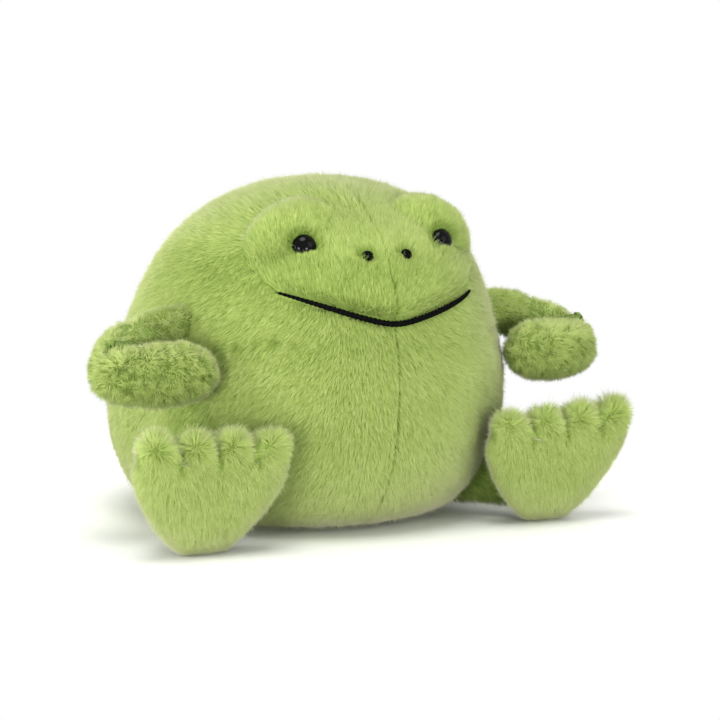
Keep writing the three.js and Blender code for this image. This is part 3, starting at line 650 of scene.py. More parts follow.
def grow(name, body, finish, roots, nap, length, lift, shade, rng, depth=2.3, tuft=1.3,
         pull=0.35, stray=0.24):
    """One strand from each root: lift is its angle off the cloth, and tuft, pull and stray
    say how wide the tufts are, how closely they gather and how much strands differ"""
    place, out = roots["place"], roots["out"]
    count = len(place)
    length, lift, shade, pull, stray = (
        np.broadcast_to(np.asarray(v, float), (count,)) for v in (length, lift, shade, pull, stray))
    sway = wander(place, 7, 1, 3.1) * 0.22
    nap = lie(nap + sway + rng.normal(0, 1, (count, 3)) * stray[:, None], out)
    loose = rng.random(count) < LOOSE_SHARE
    lift = lift * (1 + 0.22 * drift(place, 3.2, 5)) + rng.normal(0, 0.12, count) + 0.45 * loose
    lift = np.clip(lift, 0.05, 1.5)[:, None]
    length = length * (1 + 0.08 * drift(place, 4, 9) + rng.normal(0, 0.09, count) + 0.12 * loose)
    start = place - out * depth
    tip = start + length[:, None] * (np.cos(lift) * nap + np.sin(lift) * out)

    cells = np.floor(place / tuft + 0.35 * wander(place, 5, 0)).astype(int)
    group = np.unique(cells, axis=0, return_inverse=True)[1].ravel()
    members = np.bincount(group)[:, None]
    gathered = np.stack([np.bincount(group, tip[:, k]) for k in range(3)], -1) / members
    tip = tip + (gathered[group] - tip) * (pull * ~loose)[:, None]
    shade = shade + rng.normal(0, 0.07, len(members))[group] + rng.normal(0, 0.12, count)
    shade = np.clip(shade + 0.05 * drift(place, 9, 2), 0.03, 0.97)

    aim = unit(tip - start)
    side = unit(np.cross(aim, out))
    above = np.cross(side, aim)
    spin = rng.random(count) * 2 * np.pi
    half = STRAND_WIDTH / 2 * (1 + rng.normal(0, 0.12, count))
    around = []
    for corner in range(3):
        turn = (spin + corner * 2 * np.pi / 3)[:, None]
        around.append(side * np.cos(turn) + above * np.sin(turn))
    around = np.stack(around, 1)
    vertices = np.concatenate([start[:, None] + around * half[:, None, None], tip[:, None]], 1)
    vertices[..., 2] = np.maximum(vertices[..., 2], LOWEST_PILE)
    normals = np.concatenate([around, aim[:, None]], 1)
    return write_spikes(name, body, finish, vertices, normals, out, shade)


def write_spikes(name, body, finish, vertices, normals, out, shade):
    """Writes three base corners and a tip for each strand, with its map and its shading"""
    count = len(vertices)
    mesh = bpy.data.meshes.new(name)
    mesh.vertices.add(count * 4)
    mesh.vertices.foreach_set("co", (vertices * MM).astype(np.float32).ravel())
    base = np.arange(count)[:, None] * 4
    corners = (base + [1, 0, 3, 2, 1, 3, 0, 2, 3]).ravel()
    mesh.loops.add(count * 9)
    mesh.loops.foreach_set("vertex_index", corners.astype(np.int32))
    mesh.polygons.add(count * 3)
    mesh.polygons.foreach_set("loop_start", (np.arange(count * 3) * 3).astype(np.int32))
    mesh.polygons.foreach_set("loop_total", np.full(count * 3, 3, np.int32))
    mesh.polygons.foreach_set("use_smooth", np.ones(count * 3, bool))
    mesh.update()
    across = shade[:, None] + np.array([-1, 1, 0] * 3) * 0.015
    along = np.broadcast_to([0.02, 0.02, 0.98] * 3, across.shape)
    layer = mesh.uv_layers.new(name="OFBake")
    layer.data.foreach_set("uv", np.stack([across, along], -1).astype(np.float32).ravel())
    shading = unit(out[:, None] * FORM_SHARE + normals * (1 - FORM_SHARE))
    mesh.normals_split_custom_set_from_vertices(shading.reshape(-1, 3))
    mesh.materials.append(finish)
    piece = add_object(name, mesh)
    if body:
        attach(piece, body)
    print(name, count, "strands")
    return piece


# %% [markdown]
# The cloth under the pile
#
# Each panel's cloth is thin, and it has exactly the panel's cut. For the body, a copy of the
# solid has that cut already, with the thickness of cloth and pile together, so what lies in
# the pile's depth is drawn back under it, square to the smooth form, and only the cloth is
# left. Arms, legs and feet are plain tubes and pads, so their cloth is a patch of the same
# form that their pile grows on, drawn in by the pile's depth and made thick with Solidify.

# %% Cloth panels
PILE_DEPTH = 2.1
LIMB_CLOTH = 0.9
LOWEST_PANEL, LOWEST_LIMB = 1.0, 0.9
MERGE_METRES = 0.00001


@contextlib.contextmanager
def editing(mesh):
    """A bmesh to work on, which is written back when the work is done"""
    form = bmesh.new()
    form.from_mesh(mesh)
    yield form
    form.to_mesh(mesh)
    form.free()


def working_copy(node, name):
    source = frame["nodes"][node]
    mesh = source.data.copy()
    mesh.transform(source.matrix_world)
    mesh.materials.clear()
    with editing(mesh) as form:
        bmesh.ops.remove_doubles(form, verts=form.verts, dist=MERGE_METRES)
    return add_object(name, mesh)


def form_tree(grid):
    form = bmesh.new()
    rows = [[form.verts.new(Vector(place) * MM) for place in row[:-1]] for row in grid]
    for low, high in zip(rows, rows[1:]):
        for k in range(len(low)):
            after = (k + 1) % len(low)
            form.faces.new((low[k], low[after], high[after], high[k]))
    bmesh.ops.recalc_face_normals(form, faces=form.faces)
    form.normal_update()
    centre = sum((vertex.co for vertex in form.verts), Vector()) / len(form.verts)
    if sum((face.calc_center_median() - centre).dot(face.normal) for face in form.faces) < 0:
        bmesh.ops.reverse_faces(form, faces=form.faces)
    tree = BVHTree.FromBMesh(form)
    form.free()
    return tree


body_tree = form_tree(body_form)


def panel_cloth(node):
    """The body's panel: its solid, with what lies in the pile's depth drawn back under it"""
    piece = working_copy(node, node.replace("_panel", "") + "_cloth")
    with editing(piece.data) as form:
        bmesh.ops.triangulate(form, faces=form.faces)
        for longest in (8, 4):
            long = [edge for edge in form.edges if edge.calc_length() > longest * MM]
            bmesh.ops.subdivide_edges(form, edges=long, cuts=1)
            bmesh.ops.triangulate(form, faces=form.faces)
        for vertex in form.verts:
            place, outward = body_tree.find_nearest(vertex.co)[:2]
            depth = (place - vertex.co).dot(outward)
            if depth < 0 or (place - vertex.co).length < PILE_DEPTH * MM:
                vertex.co = place - outward * PILE_DEPTH * MM
            vertex.co.z = max(vertex.co.z, LOWEST_PANEL * MM)
    piece.data.materials.append(backing_cloth)
    piece.data.shade_smooth()
    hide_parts(node)
    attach(piece, "torso")


def grid_cloth(node, body, finish, grid, outward):
    """A limb's panel: a patch of a form that lies under the pile, made thick inwards"""
    rows, columns = grid.shape[:2]
    places = grid.copy()
    places[..., 2] = np.maximum(places[..., 2], LOWEST_LIMB)
    mesh = bpy.data.meshes.new(node.replace("_panel", "") + "_cloth")
    faces = [(k, k + columns, k + columns + 1, k + 1)
             for r in range(rows - 1) for k in range(r * columns, (r + 1) * columns - 1)]
    mesh.from_pydata([tuple(v) for v in places.reshape(-1, 3) * MM], [], faces)
    with editing(mesh) as form:
        bmesh.ops.remove_doubles(form, verts=form.verts, dist=2 * MERGE_METRES)
        form.normal_update()
        middle = rows // 2, columns // 2
        at = Vector(places[middle]) * MM
        nearest = min(form.faces, key=lambda face: (face.calc_center_median() - at).length)
        if nearest.normal.dot(Vector(outward[middle])) < 0:
            bmesh.ops.reverse_faces(form, faces=form.faces)
    mesh.shade_smooth()
    mesh.materials.append(finish)
    piece = add_object(mesh.name, mesh)
    clear_selection()
    bpy.context.view_layer.objects.active = piece
    piece.select_set(True)
    shell = piece.modifiers.new("thickness", "SOLIDIFY")
    shell.thickness = LIMB_CLOTH * MM
    shell.offset = -1
    bpy.ops.object.modifier_apply(modifier=shell.name)
    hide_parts(node)
    if body:
        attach(piece, body)
    return piece


BODY_CLOTHS = ["base_panel"] + [
    f"{name}_{panel}_panel" for name in SIDES for panel in ("back", "belly", "muzzle", "brow")]
for node in BODY_CLOTHS:
    panel_cloth(node)
for name, side in SIDES.items():
    outward = form_normals(arm_form(side))
    arm = arm_form(side) - outward * PILE_DEPTH
    last = arm.shape[1] - 1
    quarter = last // 4
    plus = [*range(3 * quarter, last), *range(0, quarter + 1)]
    minus = [*range(quarter, 3 * quarter + 1)]
    halves = {"outer": plus if side > 0 else minus, "inner": minus if side > 0 else plus}
    for panel, columns in halves.items():
        grid_cloth(f"{name}_arm_{panel}_panel", f"{name}_arm", arm_backing,
                   arm[:, columns], outward[:, columns])
    foot = foot_form(side, inset=PILE_DEPTH)
    outward = form_normals(foot)
    half = len(foot) // 2
    for panel, rows in (("foot_sole", slice(0, half)), ("foot_top", slice(half, None))):
        grid_cloth(f"{name}_{panel}", f"{name}_leg", backing_cloth, foot[rows],
                   outward[rows])
print("cloth panels:", len(BODY_CLOTHS), "on the body and 8 on arms and feet")

# %% [markdown]
# Pile on the body
#
# Pile has a nap, the way in which it was brushed or has settled. Below the mouth it runs down
# and fans out, on the face it stands up, over the crown it lies out and back, and on the back
# it runs down. Around the eyes and nostrils the pile is pushed aside by the button or the
# knot, so it stands away from them. Along a seam it is caught in the stitches: it is shorter,
# parts to both sides, and looks darker. Each panel's pile is sorted out of one scatter over
# the whole form, so that no line shows where two panels meet but the seam's own.

# %% Where each panel lies
FACE_SIDE = np.array([
    [0.915, 0.17], [0.92, 0.33], [0.87, 0.5], [0.646, 0.777], [0.333, 1], [0, 0.948],
])
SIDE_SEAM = np.array([
    [0.82, 1], [0.66, 0.95], [0.544, 0.86], [0.456, 0.72], [0.316, 0.49], [0.177, 0.22],
    [0.1, -0.06],
])
MOUTH_END = float(mouth_height(MOUTH_HALF))
MOUTH_SLIP = 2.5
FACE_TOP, FACE_BACK = 121, -25
SEAM_DEPTH = 79
BROW_CUT_DROP, BROW_CUT_WIDE = 2.5, 14.5
BASE_RADIUS, BASE_TOP = 52, 10
EYE_ACROSS, EYE_HEIGHT = 28.0, 107.6
NOSTRIL_ACROSS, NOSTRIL_HEIGHT = 7.8, 104.28
face_line = np.concatenate([
    [[MOUTH_HALF, MOUTH_END]], FACE_SIDE * (LIP_HALF, FACE_TOP - MOUTH_END) + (0, MOUTH_END),
])
side_line = SIDE_SEAM[::-1] * (SEAM_DEPTH, MOUTH_END)


def in_face(points):
    across, height = np.abs(points[..., 0]), points[..., 2]
    limit = np.interp(height, face_line[:-1, 1], face_line[:-1, 0])
    limit = np.where(height < MOUTH_END, MOUTH_HALF, limit)
    top = np.interp(across, face_line[:-3:-1, 0], face_line[:-3:-1, 1])
    inside = (height > mouth_height(across)) & (across < limit) & (height < top)
    return inside & (points[..., 1] < FACE_BACK)


def in_belly(points):
    limit = np.interp(points[..., 2], side_line[:, 1], side_line[:, 0])
    return (-points[..., 1] > limit) & (points[..., 2] < MOUTH_END)


def brow_oval(local):
    """Below 1 inside the brow panel's oval cut and above 1 outside it"""
    drop = local[..., 1] - BROW_CUT_DROP
    return (local[..., 0] / BROW_LONG) ** 2 + (drop / BROW_CUT_WIDE) ** 2


def in_brow_panel(points):
    local = in_brow(points)
    return (brow_oval(local) < 1) & (np.abs(local[..., 2]) < BROW_REACH)


def in_base(points):
    return (np.hypot(points[..., 0], points[..., 1]) < BASE_RADIUS) & (points[..., 2] < BASE_TOP)


EYES = {name: front_place(side * EYE_ACROSS, EYE_HEIGHT) for name, side in SIDES.items()}
NOSTRILS = {
    name: front_place(side * NOSTRIL_ACROSS, NOSTRIL_HEIGHT) for name, side in SIDES.items()}
print("eyes in mm:", {name: np.round(place, 1).tolist() for name, (place, _) in EYES.items()})


# %% Body pile
UPWARD = np.array([0, 0, 1.0])
BODY_PILE_LENGTH, BODY_PILE_LIFT = 3.7, 0.72
# Hole, reach and the painted shade of the hollow round each eye and each nostril
EYE_CLEARING, NOSTRIL_CLEARING = (4.1, 9.5, 0.34), (1.35, 5.5, 0.38)


def push_aside(roots, nap, lift, shade, centre, outward, hole, reach, dark):
    """Turns the nap away from what is sewn into the pile, but not from below it; no strand
    stands within the hole, and the reach, from its middle too, is where the turning ends"""
    away = roots["place"] - centre
    span = np.linalg.norm(away, axis=-1)
    upright = lie(UPWARD, outward[None])[0]
    rise = (away @ upright) / np.maximum(span, 1e-6)
    under = ease(-rise, 0.2, 0.7)
    near = (1 - ease(span, hole, reach)) * (1 - under)
    nap = nap * (1 - near[:, None]) + unit(away) * (near * 1.2)[:, None]
    rim = 1 - ease(span, hole + 0.3, hole + (reach - hole) * 0.6)
    lift = lift + 0.3 * rim
    # Painted shade in the hollow that the pushed pile leaves round the button or knot, heavier
    # above it
    shade = shade - dark * rim * (0.6 + 0.4 * ease(rise, -0.3, 0.6))
    return nap, lift, shade, span > hole


def body_pile_parts(roots):
    """Nap, lift, length and shade of the pile at each root, and which roots stay"""
    place = roots["place"]
    x, y, z = place.T
    side, across = np.sign(x), np.abs(x)
    front = ease(-y, -10, 40)
    face = in_face(place) | (in_brow_panel(place) & (y < 0))

    fan = 0.95 * ease(mouth_height(across) - z, -2, 6) * ease(across, 2, 40) * front
    nap = vectors(side * fan, -0.25 * (1 - front), -1)
    nap = np.where(face[:, None], vectors(0.12 * side, 0, 1), nap)
    crown = np.where(face, 0, ease(z, 102, 118) * (1 - ease(y, 25, 50)))[:, None]
    nap = nap * (1 - crown) + vectors(0.75 * side * ease(across, 0, 8), 0.8, 0) * crown
    length = np.full(len(x), BODY_PILE_LENGTH)
    lift = BODY_PILE_LIFT + 0.1 * crown[:, 0]

    # Painted shade: a broken dark line of small pits crosses the belly towards each arm's root
    pits = ease(drift(place, 2.4, 6), -0.05, 0.5) * ease(across, 30, 38)
    pits = pits * (1 - ease(across, 60, 66)) * front
    pits = pits * (1 - ease(np.abs(z - 75.5 + (across - 35) * 0.1), 0.6, 2.8))
    # Painted shade darkens the face and, outside it, the upper body in front; painted light
    # brightens the top of the back
    shade = 0.5 - 0.3 * pits - 0.12 * face
    shade = shade - 0.14 * ~face * ease(z, 80, 100) * (1 - ease(y, -10, 20))
    shade = shade + 0.12 * ease(z, 88, 108) * ease(y, -10, 20)

    # Painted shade on the body behind and below the hands and beside the feet, where they shade it
    hand_gap = np.hypot(np.hypot(across - 76, (z - 64) * 0.9), (y + 62) * 0.6) - 13
    foot_gap = np.hypot(across - 71, (z - 24) * 1.25) - 30
    hand_and_foot_shade = (1 - ease(hand_gap, 0, 10)) * (1 - ease(z, 66, 78))
    hand_and_foot_shade = hand_and_foot_shade + (1 - ease(foot_gap, -2, 9)) * (y < -35)
    shade = shade - 0.2 * np.minimum(hand_and_foot_shade, 1)
    # Painted shade over the front from about the arms' roots up to the brows; painted light on the
    # low body, for the light the floor throws up
    shade = shade - 0.1 * ease(z, 62, 76) * (1 - ease(z, 100, 108)) * front
    shade = shade + 0.14 * (1 - ease(z, 12, 42))

    # The seam round each brow has shorter pile, and painted shade darkens it above the brow, where
    # the brow hangs over it, fading out below
    local = in_brow(place)
    brow_seam = 1 - ease(np.abs(np.sqrt(brow_oval(local)) - 1) * 15, 0.2, 1.8)
    brow_seam = brow_seam * (np.abs(local[:, 2]) < BROW_REACH) * (y < 0)
    patchy = 0.6 + 0.4 * drift(place, 5, 12)
    brow_seam = brow_seam * (ease(0.6 - local[:, 1] / BROW_CUT_WIDE, 0.2, 0.8) * patchy)
    shade = shade - 0.22 * brow_seam
    length = length * (1 - 0.15 * brow_seam)

    keep_root = np.ones(len(x), bool)
    for name in SIDES:
        for spot, clearing in (EYES[name], EYE_CLEARING), (NOSTRILS[name], NOSTRIL_CLEARING):
            nap, lift, shade, ok = push_aside(roots, nap, lift, shade, *spot, *clearing)
            keep_root &= ok

    # The mouth climbs about 1 in 2, so a height above it is more than the distance from it
    from_mouth = z - mouth_height(across) + MOUTH_SLIP * ease(x, 0, MOUTH_HALF)
    from_mouth = from_mouth / math.sqrt(1.25)
    on_mouth = (across < MOUTH_HALF + 1) & (y < FACE_BACK)
    lip = on_mouth & (from_mouth > -0.4) & (from_mouth < 6)
    length = np.where(lip, np.minimum(length, 1.3 + 0.85 * from_mouth), length)
    lift = np.where(lip & (from_mouth < 3), lift + 0.25, lift)
    keep_root &= ~(on_mouth & (np.abs(from_mouth) < 0.7))

    # The middle seam, which the pile of the snout nearly hides
    seam = 1 - ease(across, 0.2, 1.4)
    seam = seam * np.where((z > 98) & (y < -60), 0.15, 0.7) * (z < 128)
    nap = nap + vectors(side * seam * 0.6, 0, 0)
    length = length * (1 - 0.15 * seam)
    return nap, lift, length, shade - 0.16 * seam, keep_root


def sample_body(density, mask, seed):
    """Roots on one panel, so many to the square millimetre of the form, which the first,
    small scatter measures"""
    rng = np.random.default_rng(seed)
    probe = scatter(body_form, 1000, rng)
    roots = scatter(body_form, int(probe["area"] * density), rng)
    return keep(roots, mask(roots["place"])), rng


def is_belly(p):
    return in_belly(p) & ~in_face(p) & ~in_brow_panel(p) & ~in_base(p)


def is_muzzle(p):
    return in_face(p) & ~in_brow_panel(p)


def is_back(p):
    return ~in_belly(p) & ~in_face(p) & ~in_brow_panel(p) & ~in_base(p)


def under_arm_root(p):
    x, y, z = p.T
    oval = ((y - ARM_ROOT_DEPTH) / 5) ** 2 + ((z - ARM_ROOT_HEIGHT) / 8) ** 2
    return (oval < 1) & (np.abs(x) > 55)


BODY_PANELS = [
    ("back", is_back, 4.6, 21), ("belly", is_belly, 6.4, 22), ("muzzle", is_muzzle, 9.5, 23),
    ("brow", in_brow_panel, 9.5, 24),
]
BACK_SPLIT = 72
strand_share = 1.0
for panel, mask, density, seed in BODY_PANELS:
    roots, rng = sample_body(density * strand_share, mask, seed)
    nap, lift, length, shade, ok = body_pile_parts(roots)
    ok &= ~under_arm_root(roots["place"])
    for name, side in SIDES.items():
        mine = ok & (np.sign(roots["place"][:, 0]) == side)
        parts = {panel: mine}
        if panel == "back":
            high = roots["place"][:, 2] > BACK_SPLIT
            parts = {"upper_back": mine & high, "lower_back": mine & ~high}
        for part, chosen in parts.items():
            grow(f"{name}_{part}_pile", "torso", body_pile, keep(roots, chosen),
                 nap[chosen], length[chosen], lift[chosen], shade[chosen], rng)

# %% [markdown]
# Lids under the eyes
#
# The buttons sit deep in the pile, and what grows below each stands up over its lower edge
# and cuts it off level. That gives the frog its mild look, so this pile is grown by itself,
# each strand as long as the way from its root up to the level of the lid.

# %% Lids
LID_TOP, LID_HALF, LID_LOW = -1.7, 4.8, -5.8
LID_DENSITY = 16
for name, side in SIDES.items():
    rng = np.random.default_rng(61 + side)
    centre, outward = EYES[name]
    off_eye = np.linalg.norm(body_form - centre, axis=-1)
    row, column = np.unravel_index(off_eye.argmin(), off_eye.shape)
    patch = body_form[row - 14:row + 15, column - 18:column + 19]
    inside = np.array([0, 0, 60.0])
    probe = scatter(patch, 100, rng, inside)
    roots = scatter(patch, int(probe["area"] * LID_DENSITY * strand_share), rng, inside)
    away = roots["place"] - centre
    upright = lie(UPWARD, outward[None])[0]
    beside, above = away @ np.cross(upright, outward), away @ upright
    low = (np.hypot(beside, above) > 3.7) & (above > LID_LOW) & (above < LID_TOP - 1.2)
    low &= np.abs(beside) < LID_HALF
    low &= rng.random(len(low)) > ease(np.abs(beside), 2.2, LID_HALF)
    lid, beside, above = keep(roots, low), beside[low], above[low]
    sunk = 0.3 + 0.8 * ease(-above, 3.4, 5.2) + 0.3 * ease(np.abs(beside), 2.5, 4.5)
    # Painted shade: the lids' pile is darker than the face round it, since facing up it catches
    # more light
    grow(f"{name}_lid_pile", "torso", body_pile, lid, upright[None],
         (LID_TOP - above) / 0.93, 0.4, 0.3, rng, depth=sunk[:, None], stray=0.18, pull=0.3)

# %% Base pile
BASE_STRANDS, SEAT_RADIUS, RIM_DENSITY = 6500, 45.5, 1.6
rng = np.random.default_rng(25)
ring = np.linspace(0.5, SEAT_RADIUS, 40)[:, None]
turn = np.linspace(0, 2 * np.pi, 121)[None, :]
seat_form = vectors(ring * np.cos(turn), ring * np.sin(turn) * DEPTH_SHARE, 0.1)
seat = scatter(seat_form, int(BASE_STRANDS * strand_share), rng)
seat["out"] = np.broadcast_to((0.0, 0.0, -1.0), seat["out"].shape).copy()
rim, _ = sample_body(RIM_DENSITY * strand_share, in_base, 26)
both = {key: np.concatenate([seat[key], rim[key]]) for key in ("place", "out")}
grow("base_pile", "torso", body_pile, both, lie(both["place"] * (1, 1, 0), both["out"]),
     3.2, 0.1, 0.42, rng, depth=1.2)

# %% [markdown]
# Pile on the limbs
#
# The arms' pile is curlier than the body's, the legs' is flat and painted dark, painted shade
# for the shadow it lies in under the feet, and the feet's fans out from the middle of each toe.
# Arms and legs are sewn to the body at their roots, and swing there. What crosses such a root,
# the shoulder's pile and the leg's cover and pile, would tear if it rode on one body, so each
# rides on none, with its place written into its mesh.

# %% Arm and leg pile
ARM_STRANDS, SHOULDER_STRANDS, LEG_STRANDS = 31200, 4200, 10920
ARM_PILE_LENGTH, SLEEVE_PILE_LENGTH = 3.3, 3.9
SLEEVE_ROWS = 24


def grow_arm(name, side, rng):
    roots = scatter(arm_form(side), int(ARM_STRANDS * strand_share), rng)
    place, row = roots["place"], roots["row"]
    ok = ~inside_body(place, 0.5) | (row > 0.5)
    outer = side * np.cos(roots["column"] * 2 * np.pi) > 0
    end = ease(row, 0.85, 1)
    nap = np.array([0.1 * side, 0, -0.35]) + wander(place, 2.2, 20) * 1.4
    lift = 0.9 + 0.35 * drift(place, 2.6, 7)
    length = ARM_PILE_LENGTH + 0.3 * end
    pits = ease(drift(place, 1.7, 4), 0.1, 0.6)
    # Painted light on the upper arm near the body, where the forearm folds over it, and on the tops
    # that face up; the pits are darker tones at random
    shade = 0.56 + 0.06 * end + 0.16 * (1 - ease(row, 0.36, 0.44)) - 0.4 * pits
    shade = shade + 0.24 * ease(roots["out"][:, 2], 0.1, 0.9)
    for panel, mine in (("outer", ok & outer), ("inner", ok & ~outer)):
        grow(f"{name}_arm_{panel}_pile", f"{name}_arm", arm_pile, keep(roots, mine),
             nap[mine], length[mine], lift[mine], shade[mine], rng, tuft=1.2, pull=0.38,
             stray=0.4)


def grow_shoulder(name, side, rng):
    sleeve = scatter(arm_form(side)[:SLEEVE_ROWS], int(SHOULDER_STRANDS * strand_share), rng)
    piece = grow(f"{name}_shoulder_pile", None, arm_pile, sleeve, sleeve["run"],
                 SLEEVE_PILE_LENGTH, 0.95, 0.46, rng, depth=2.4, tuft=1.4, pull=0.4, stray=0.4)
    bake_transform(piece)


def dress_leg(name, side, rng):
    form = leg_form(side)
    roots = scatter(form, int(LEG_STRANDS * strand_share), rng)
    roots = keep(roots, ~inside_body(roots["place"], 0.5))
    # The leg's pile is painted dark, painted shade for the shadow of the foot and the body over it
    piece = grow(f"{name}_leg_pile", None, arm_pile, roots, roots["run"],
                 SLEEVE_PILE_LENGTH, 0.7, 0.1, rng)
    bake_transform(piece)
    outward = form_normals(form)
    cover = grid_cloth(f"{name}_leg_cover", None, arm_backing,
                       form - outward * PILE_DEPTH, outward)
    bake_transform(cover)


for name, side in SIDES.items():
    rng = np.random.default_rng(31 + side)
    grow_arm(name, side, rng)
    grow_shoulder(name, side, rng)
    dress_leg(name, side, rng)

# %% Foot pile
FOOT_STRANDS = 51600
FOOT_PILE_LENGTH = 3.8
TOE_PIT_HEIGHT, TOE_PIT_DEPTH = 46.6, 3.8
for name, side in SIDES.items():
    rng = np.random.default_rng(41 + side)
    roots = scatter(foot_form(side), int(FOOT_STRANDS * strand_share), rng)
    place = roots["place"]
    turn, origin = foot_frame(side)
    local = (place - origin) @ turn
    across, height = local[:, :1], local[:, 2]
    toes = TOE_PITCH * (np.arange(4) - 1.5)
    nearest = toes[np.abs(across - toes).argmin(1)]
    sole = local[:, 1] < 0

    # Each toe's pile fans out from a small pit near its tip; elsewhere it runs down
    depth = np.where(sole, -TOE_PIT_DEPTH, TOE_PIT_DEPTH)
    away = local - vectors(nearest, depth, TOE_PIT_HEIGHT)
    span = np.linalg.norm(away * (1, 0.6, 1), axis=-1)
    near = 1 - ease(span, 3, 9)
    fan = away * (0.5, 0.35, 1.5)
    fan[:, 0] *= 1 - 1.5 * ease(away[:, 2], 0, 4)
    nap = unit(fan) * near[:, None] + (1 - near[:, None]) * np.array([0, 0, -1.0])
    nap = nap @ turn.T

    # It is longer over the toes' tips, and short in the valleys between them, which painted shade
    # darkens
    between = np.abs(across - toes).min(1) / (TOE_PITCH / 2)
    edge = ease(height, 38, 46) * (1 - ease(between, 0.55, 0.9))
    centre = 1 - ease(span, 0, 3.5)
    lift = 0.66 + 0.3 * edge + 0.35 * centre
    longer = (2.6 + 1.4 * drift(place, 1.5, 8)) * edge
    length = FOOT_PILE_LENGTH + longer * (1 - 0.6 * ease(between, 0.25, 0.75))
    valley = ease(between, 0.74, 0.96) * ease(height, 36, 40)
    length = length * (1 - 0.45 * valley)
    # Painted light on the lower foot, for the light the floor throws up; painted shade in the
    # valleys and in each toe's pit
    shade = 0.53 + 0.24 * (1 - ease(height, 4, 24)) - 0.36 * valley - 0.12 * centre
    ok = (place[:, 2] > 0.2) & ~inside_body(place, -1.0)
    for panel, mine in (("sole", ok & sole), ("top", ok & ~sole)):
        grow(f"{name}_foot_{panel}_pile", f"{name}_leg", body_pile, keep(roots, mine),
             nap[mine], length[mine], lift[mine], shade[mine], rng, depth=2.5, tuft=1.2,
             stray=(0.26 + 0.2 * edge)[mine])

# %% [markdown]
# Eyes, nostrils and mouth
#
# The eyes are domed safety buttons on a shank. A sphere is the right start for one: its lower
# half is cut away, the rest is flattened to a dome, and the open edge is extruded into the
# button's rim, its flat back and the shank. The nostrils are small knots of satin stitch, and
# the mouth is one two-ply yarn laid on the seam, so both are made as tubes along lines.


# %% Eyes
EYE_RADIUS, EYE_DOME = 4.5, 3.1
EYE_RIM, EYE_BACK_STEP, SHANK_LENGTH, SHANK_TIP = 0.45, 0.2, 5.4, 0.3
BACK_RADIUS, SHANK_RADIUS, SHANK_TIP_SHARE = 4.185, 1.5, 0.7
EYE_SUNK = 2.0


def extrude_down(millimetres, share=None):
    """Extrudes the selected open edge away from the dome, and then narrows it to the share"""
    bpy.ops.mesh.extrude_region_move(
        TRANSFORM_OT_translate={"value": (0, 0, -millimetres * MM)})
    if share:
        bpy.ops.transform.resize(value=(share, share, 1))


def settle(piece, place, outward):
    turn = Vector((0, 0, 1)).rotation_difference(Vector(outward)).to_matrix().to_4x4()
    piece.data.transform(Matrix.Translation(Vector(place) * MM) @ turn)


for name, side in SIDES.items():
    clear_selection()
    bpy.ops.mesh.primitive_uv_sphere_add(segments=48, ring_count=32, radius=EYE_RADIUS * MM)
    eye = bpy.context.object
    eye.name = f"{name}_eye_button"
    bpy.ops.object.mode_set(mode="EDIT")
    bpy.ops.mesh.select_all(action="SELECT")
    bpy.ops.mesh.bisect(plane_co=(0, 0, 0), plane_no=(0, 0, 1), clear_inner=True, use_fill=False)
    bpy.ops.mesh.select_all(action="SELECT")
    bpy.ops.transform.resize(value=(1, 1, EYE_DOME / EYE_RADIUS))
    bpy.ops.mesh.select_all(action="DESELECT")
    bpy.ops.mesh.select_non_manifold()
    extrude_down(EYE_RIM)
    extrude_down(EYE_BACK_STEP, BACK_RADIUS / EYE_RADIUS)
    extrude_down(0, SHANK_RADIUS / BACK_RADIUS)
    extrude_down(SHANK_LENGTH)
    extrude_down(SHANK_TIP, SHANK_TIP_SHARE)
    bpy.ops.mesh.edge_face_add()
    bpy.ops.mesh.select_all(action="SELECT")
    bpy.ops.mesh.normals_make_consistent(inside=False)
    bpy.ops.object.mode_set(mode="OBJECT")
    bpy.ops.object.shade_smooth_by_angle(angle=math.radians(35))
    place, outward = EYES[name]
    settle(eye, place - outward * EYE_SUNK, outward)
    eye.data.materials.append(eye_gloss)
    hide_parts(f"{name}_eye")
    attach(eye, "torso")
    frame["nodes"][f"{name}_eye_washer"].material_slots[0].material = washer_plastic
    print(eye.name, len(eye.data.polygons), "faces, sunk", EYE_SUNK, "mm into the pile")


# %% Yarn and knots
YARN_THICK, YARN_TWIST = 1.1, 3.4
STITCHES, STITCH_RADIUS, STITCH_STEPS = 6, 0.42, 12


def tube_mesh(name, lines):
    """One piece of closed tubes, each given by its line, its radii and its number of sides"""
    vertices, faces = [], []
    for line, radii, sides in lines:
        run = unit(np.gradient(line, axis=0))
        first = unit(np.cross(run, (0.3, 0.2, 0.93)))
        second = np.cross(run, first)
        angle = np.linspace(0, 2 * np.pi, sides, endpoint=False)[None, :, None]
        rings = line[:, None] + radii[:, None, None] * (
            first[:, None] * np.cos(angle) + second[:, None] * np.sin(angle))
        base = len(vertices)
        vertices.extend(rings.reshape(-1, 3) * MM)
        for row in range(len(line) - 1):
            low, high = base + row * sides, base + (row + 1) * sides
            for k in range(sides):
                after = (k + 1) % sides
                faces.append((low + k, low + after, high + after, high + k))
        for row in (0, len(line) - 1):
            ends = [base + row * sides + k for k in range(sides)]
            faces.append(ends if row else ends[::-1])
    mesh = bpy.data.meshes.new(name)
    mesh.from_pydata([tuple(v) for v in vertices], [], faces)
    mesh.update()
    with editing(mesh) as form:
        bmesh.ops.recalc_face_normals(form, faces=form.faces)
    mesh.shade_smooth()
    mesh.materials.append(black_yarn)
    piece = add_object(name, mesh)
    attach(piece, "torso")
    print(name, len(lines), "tubes")
    return piece


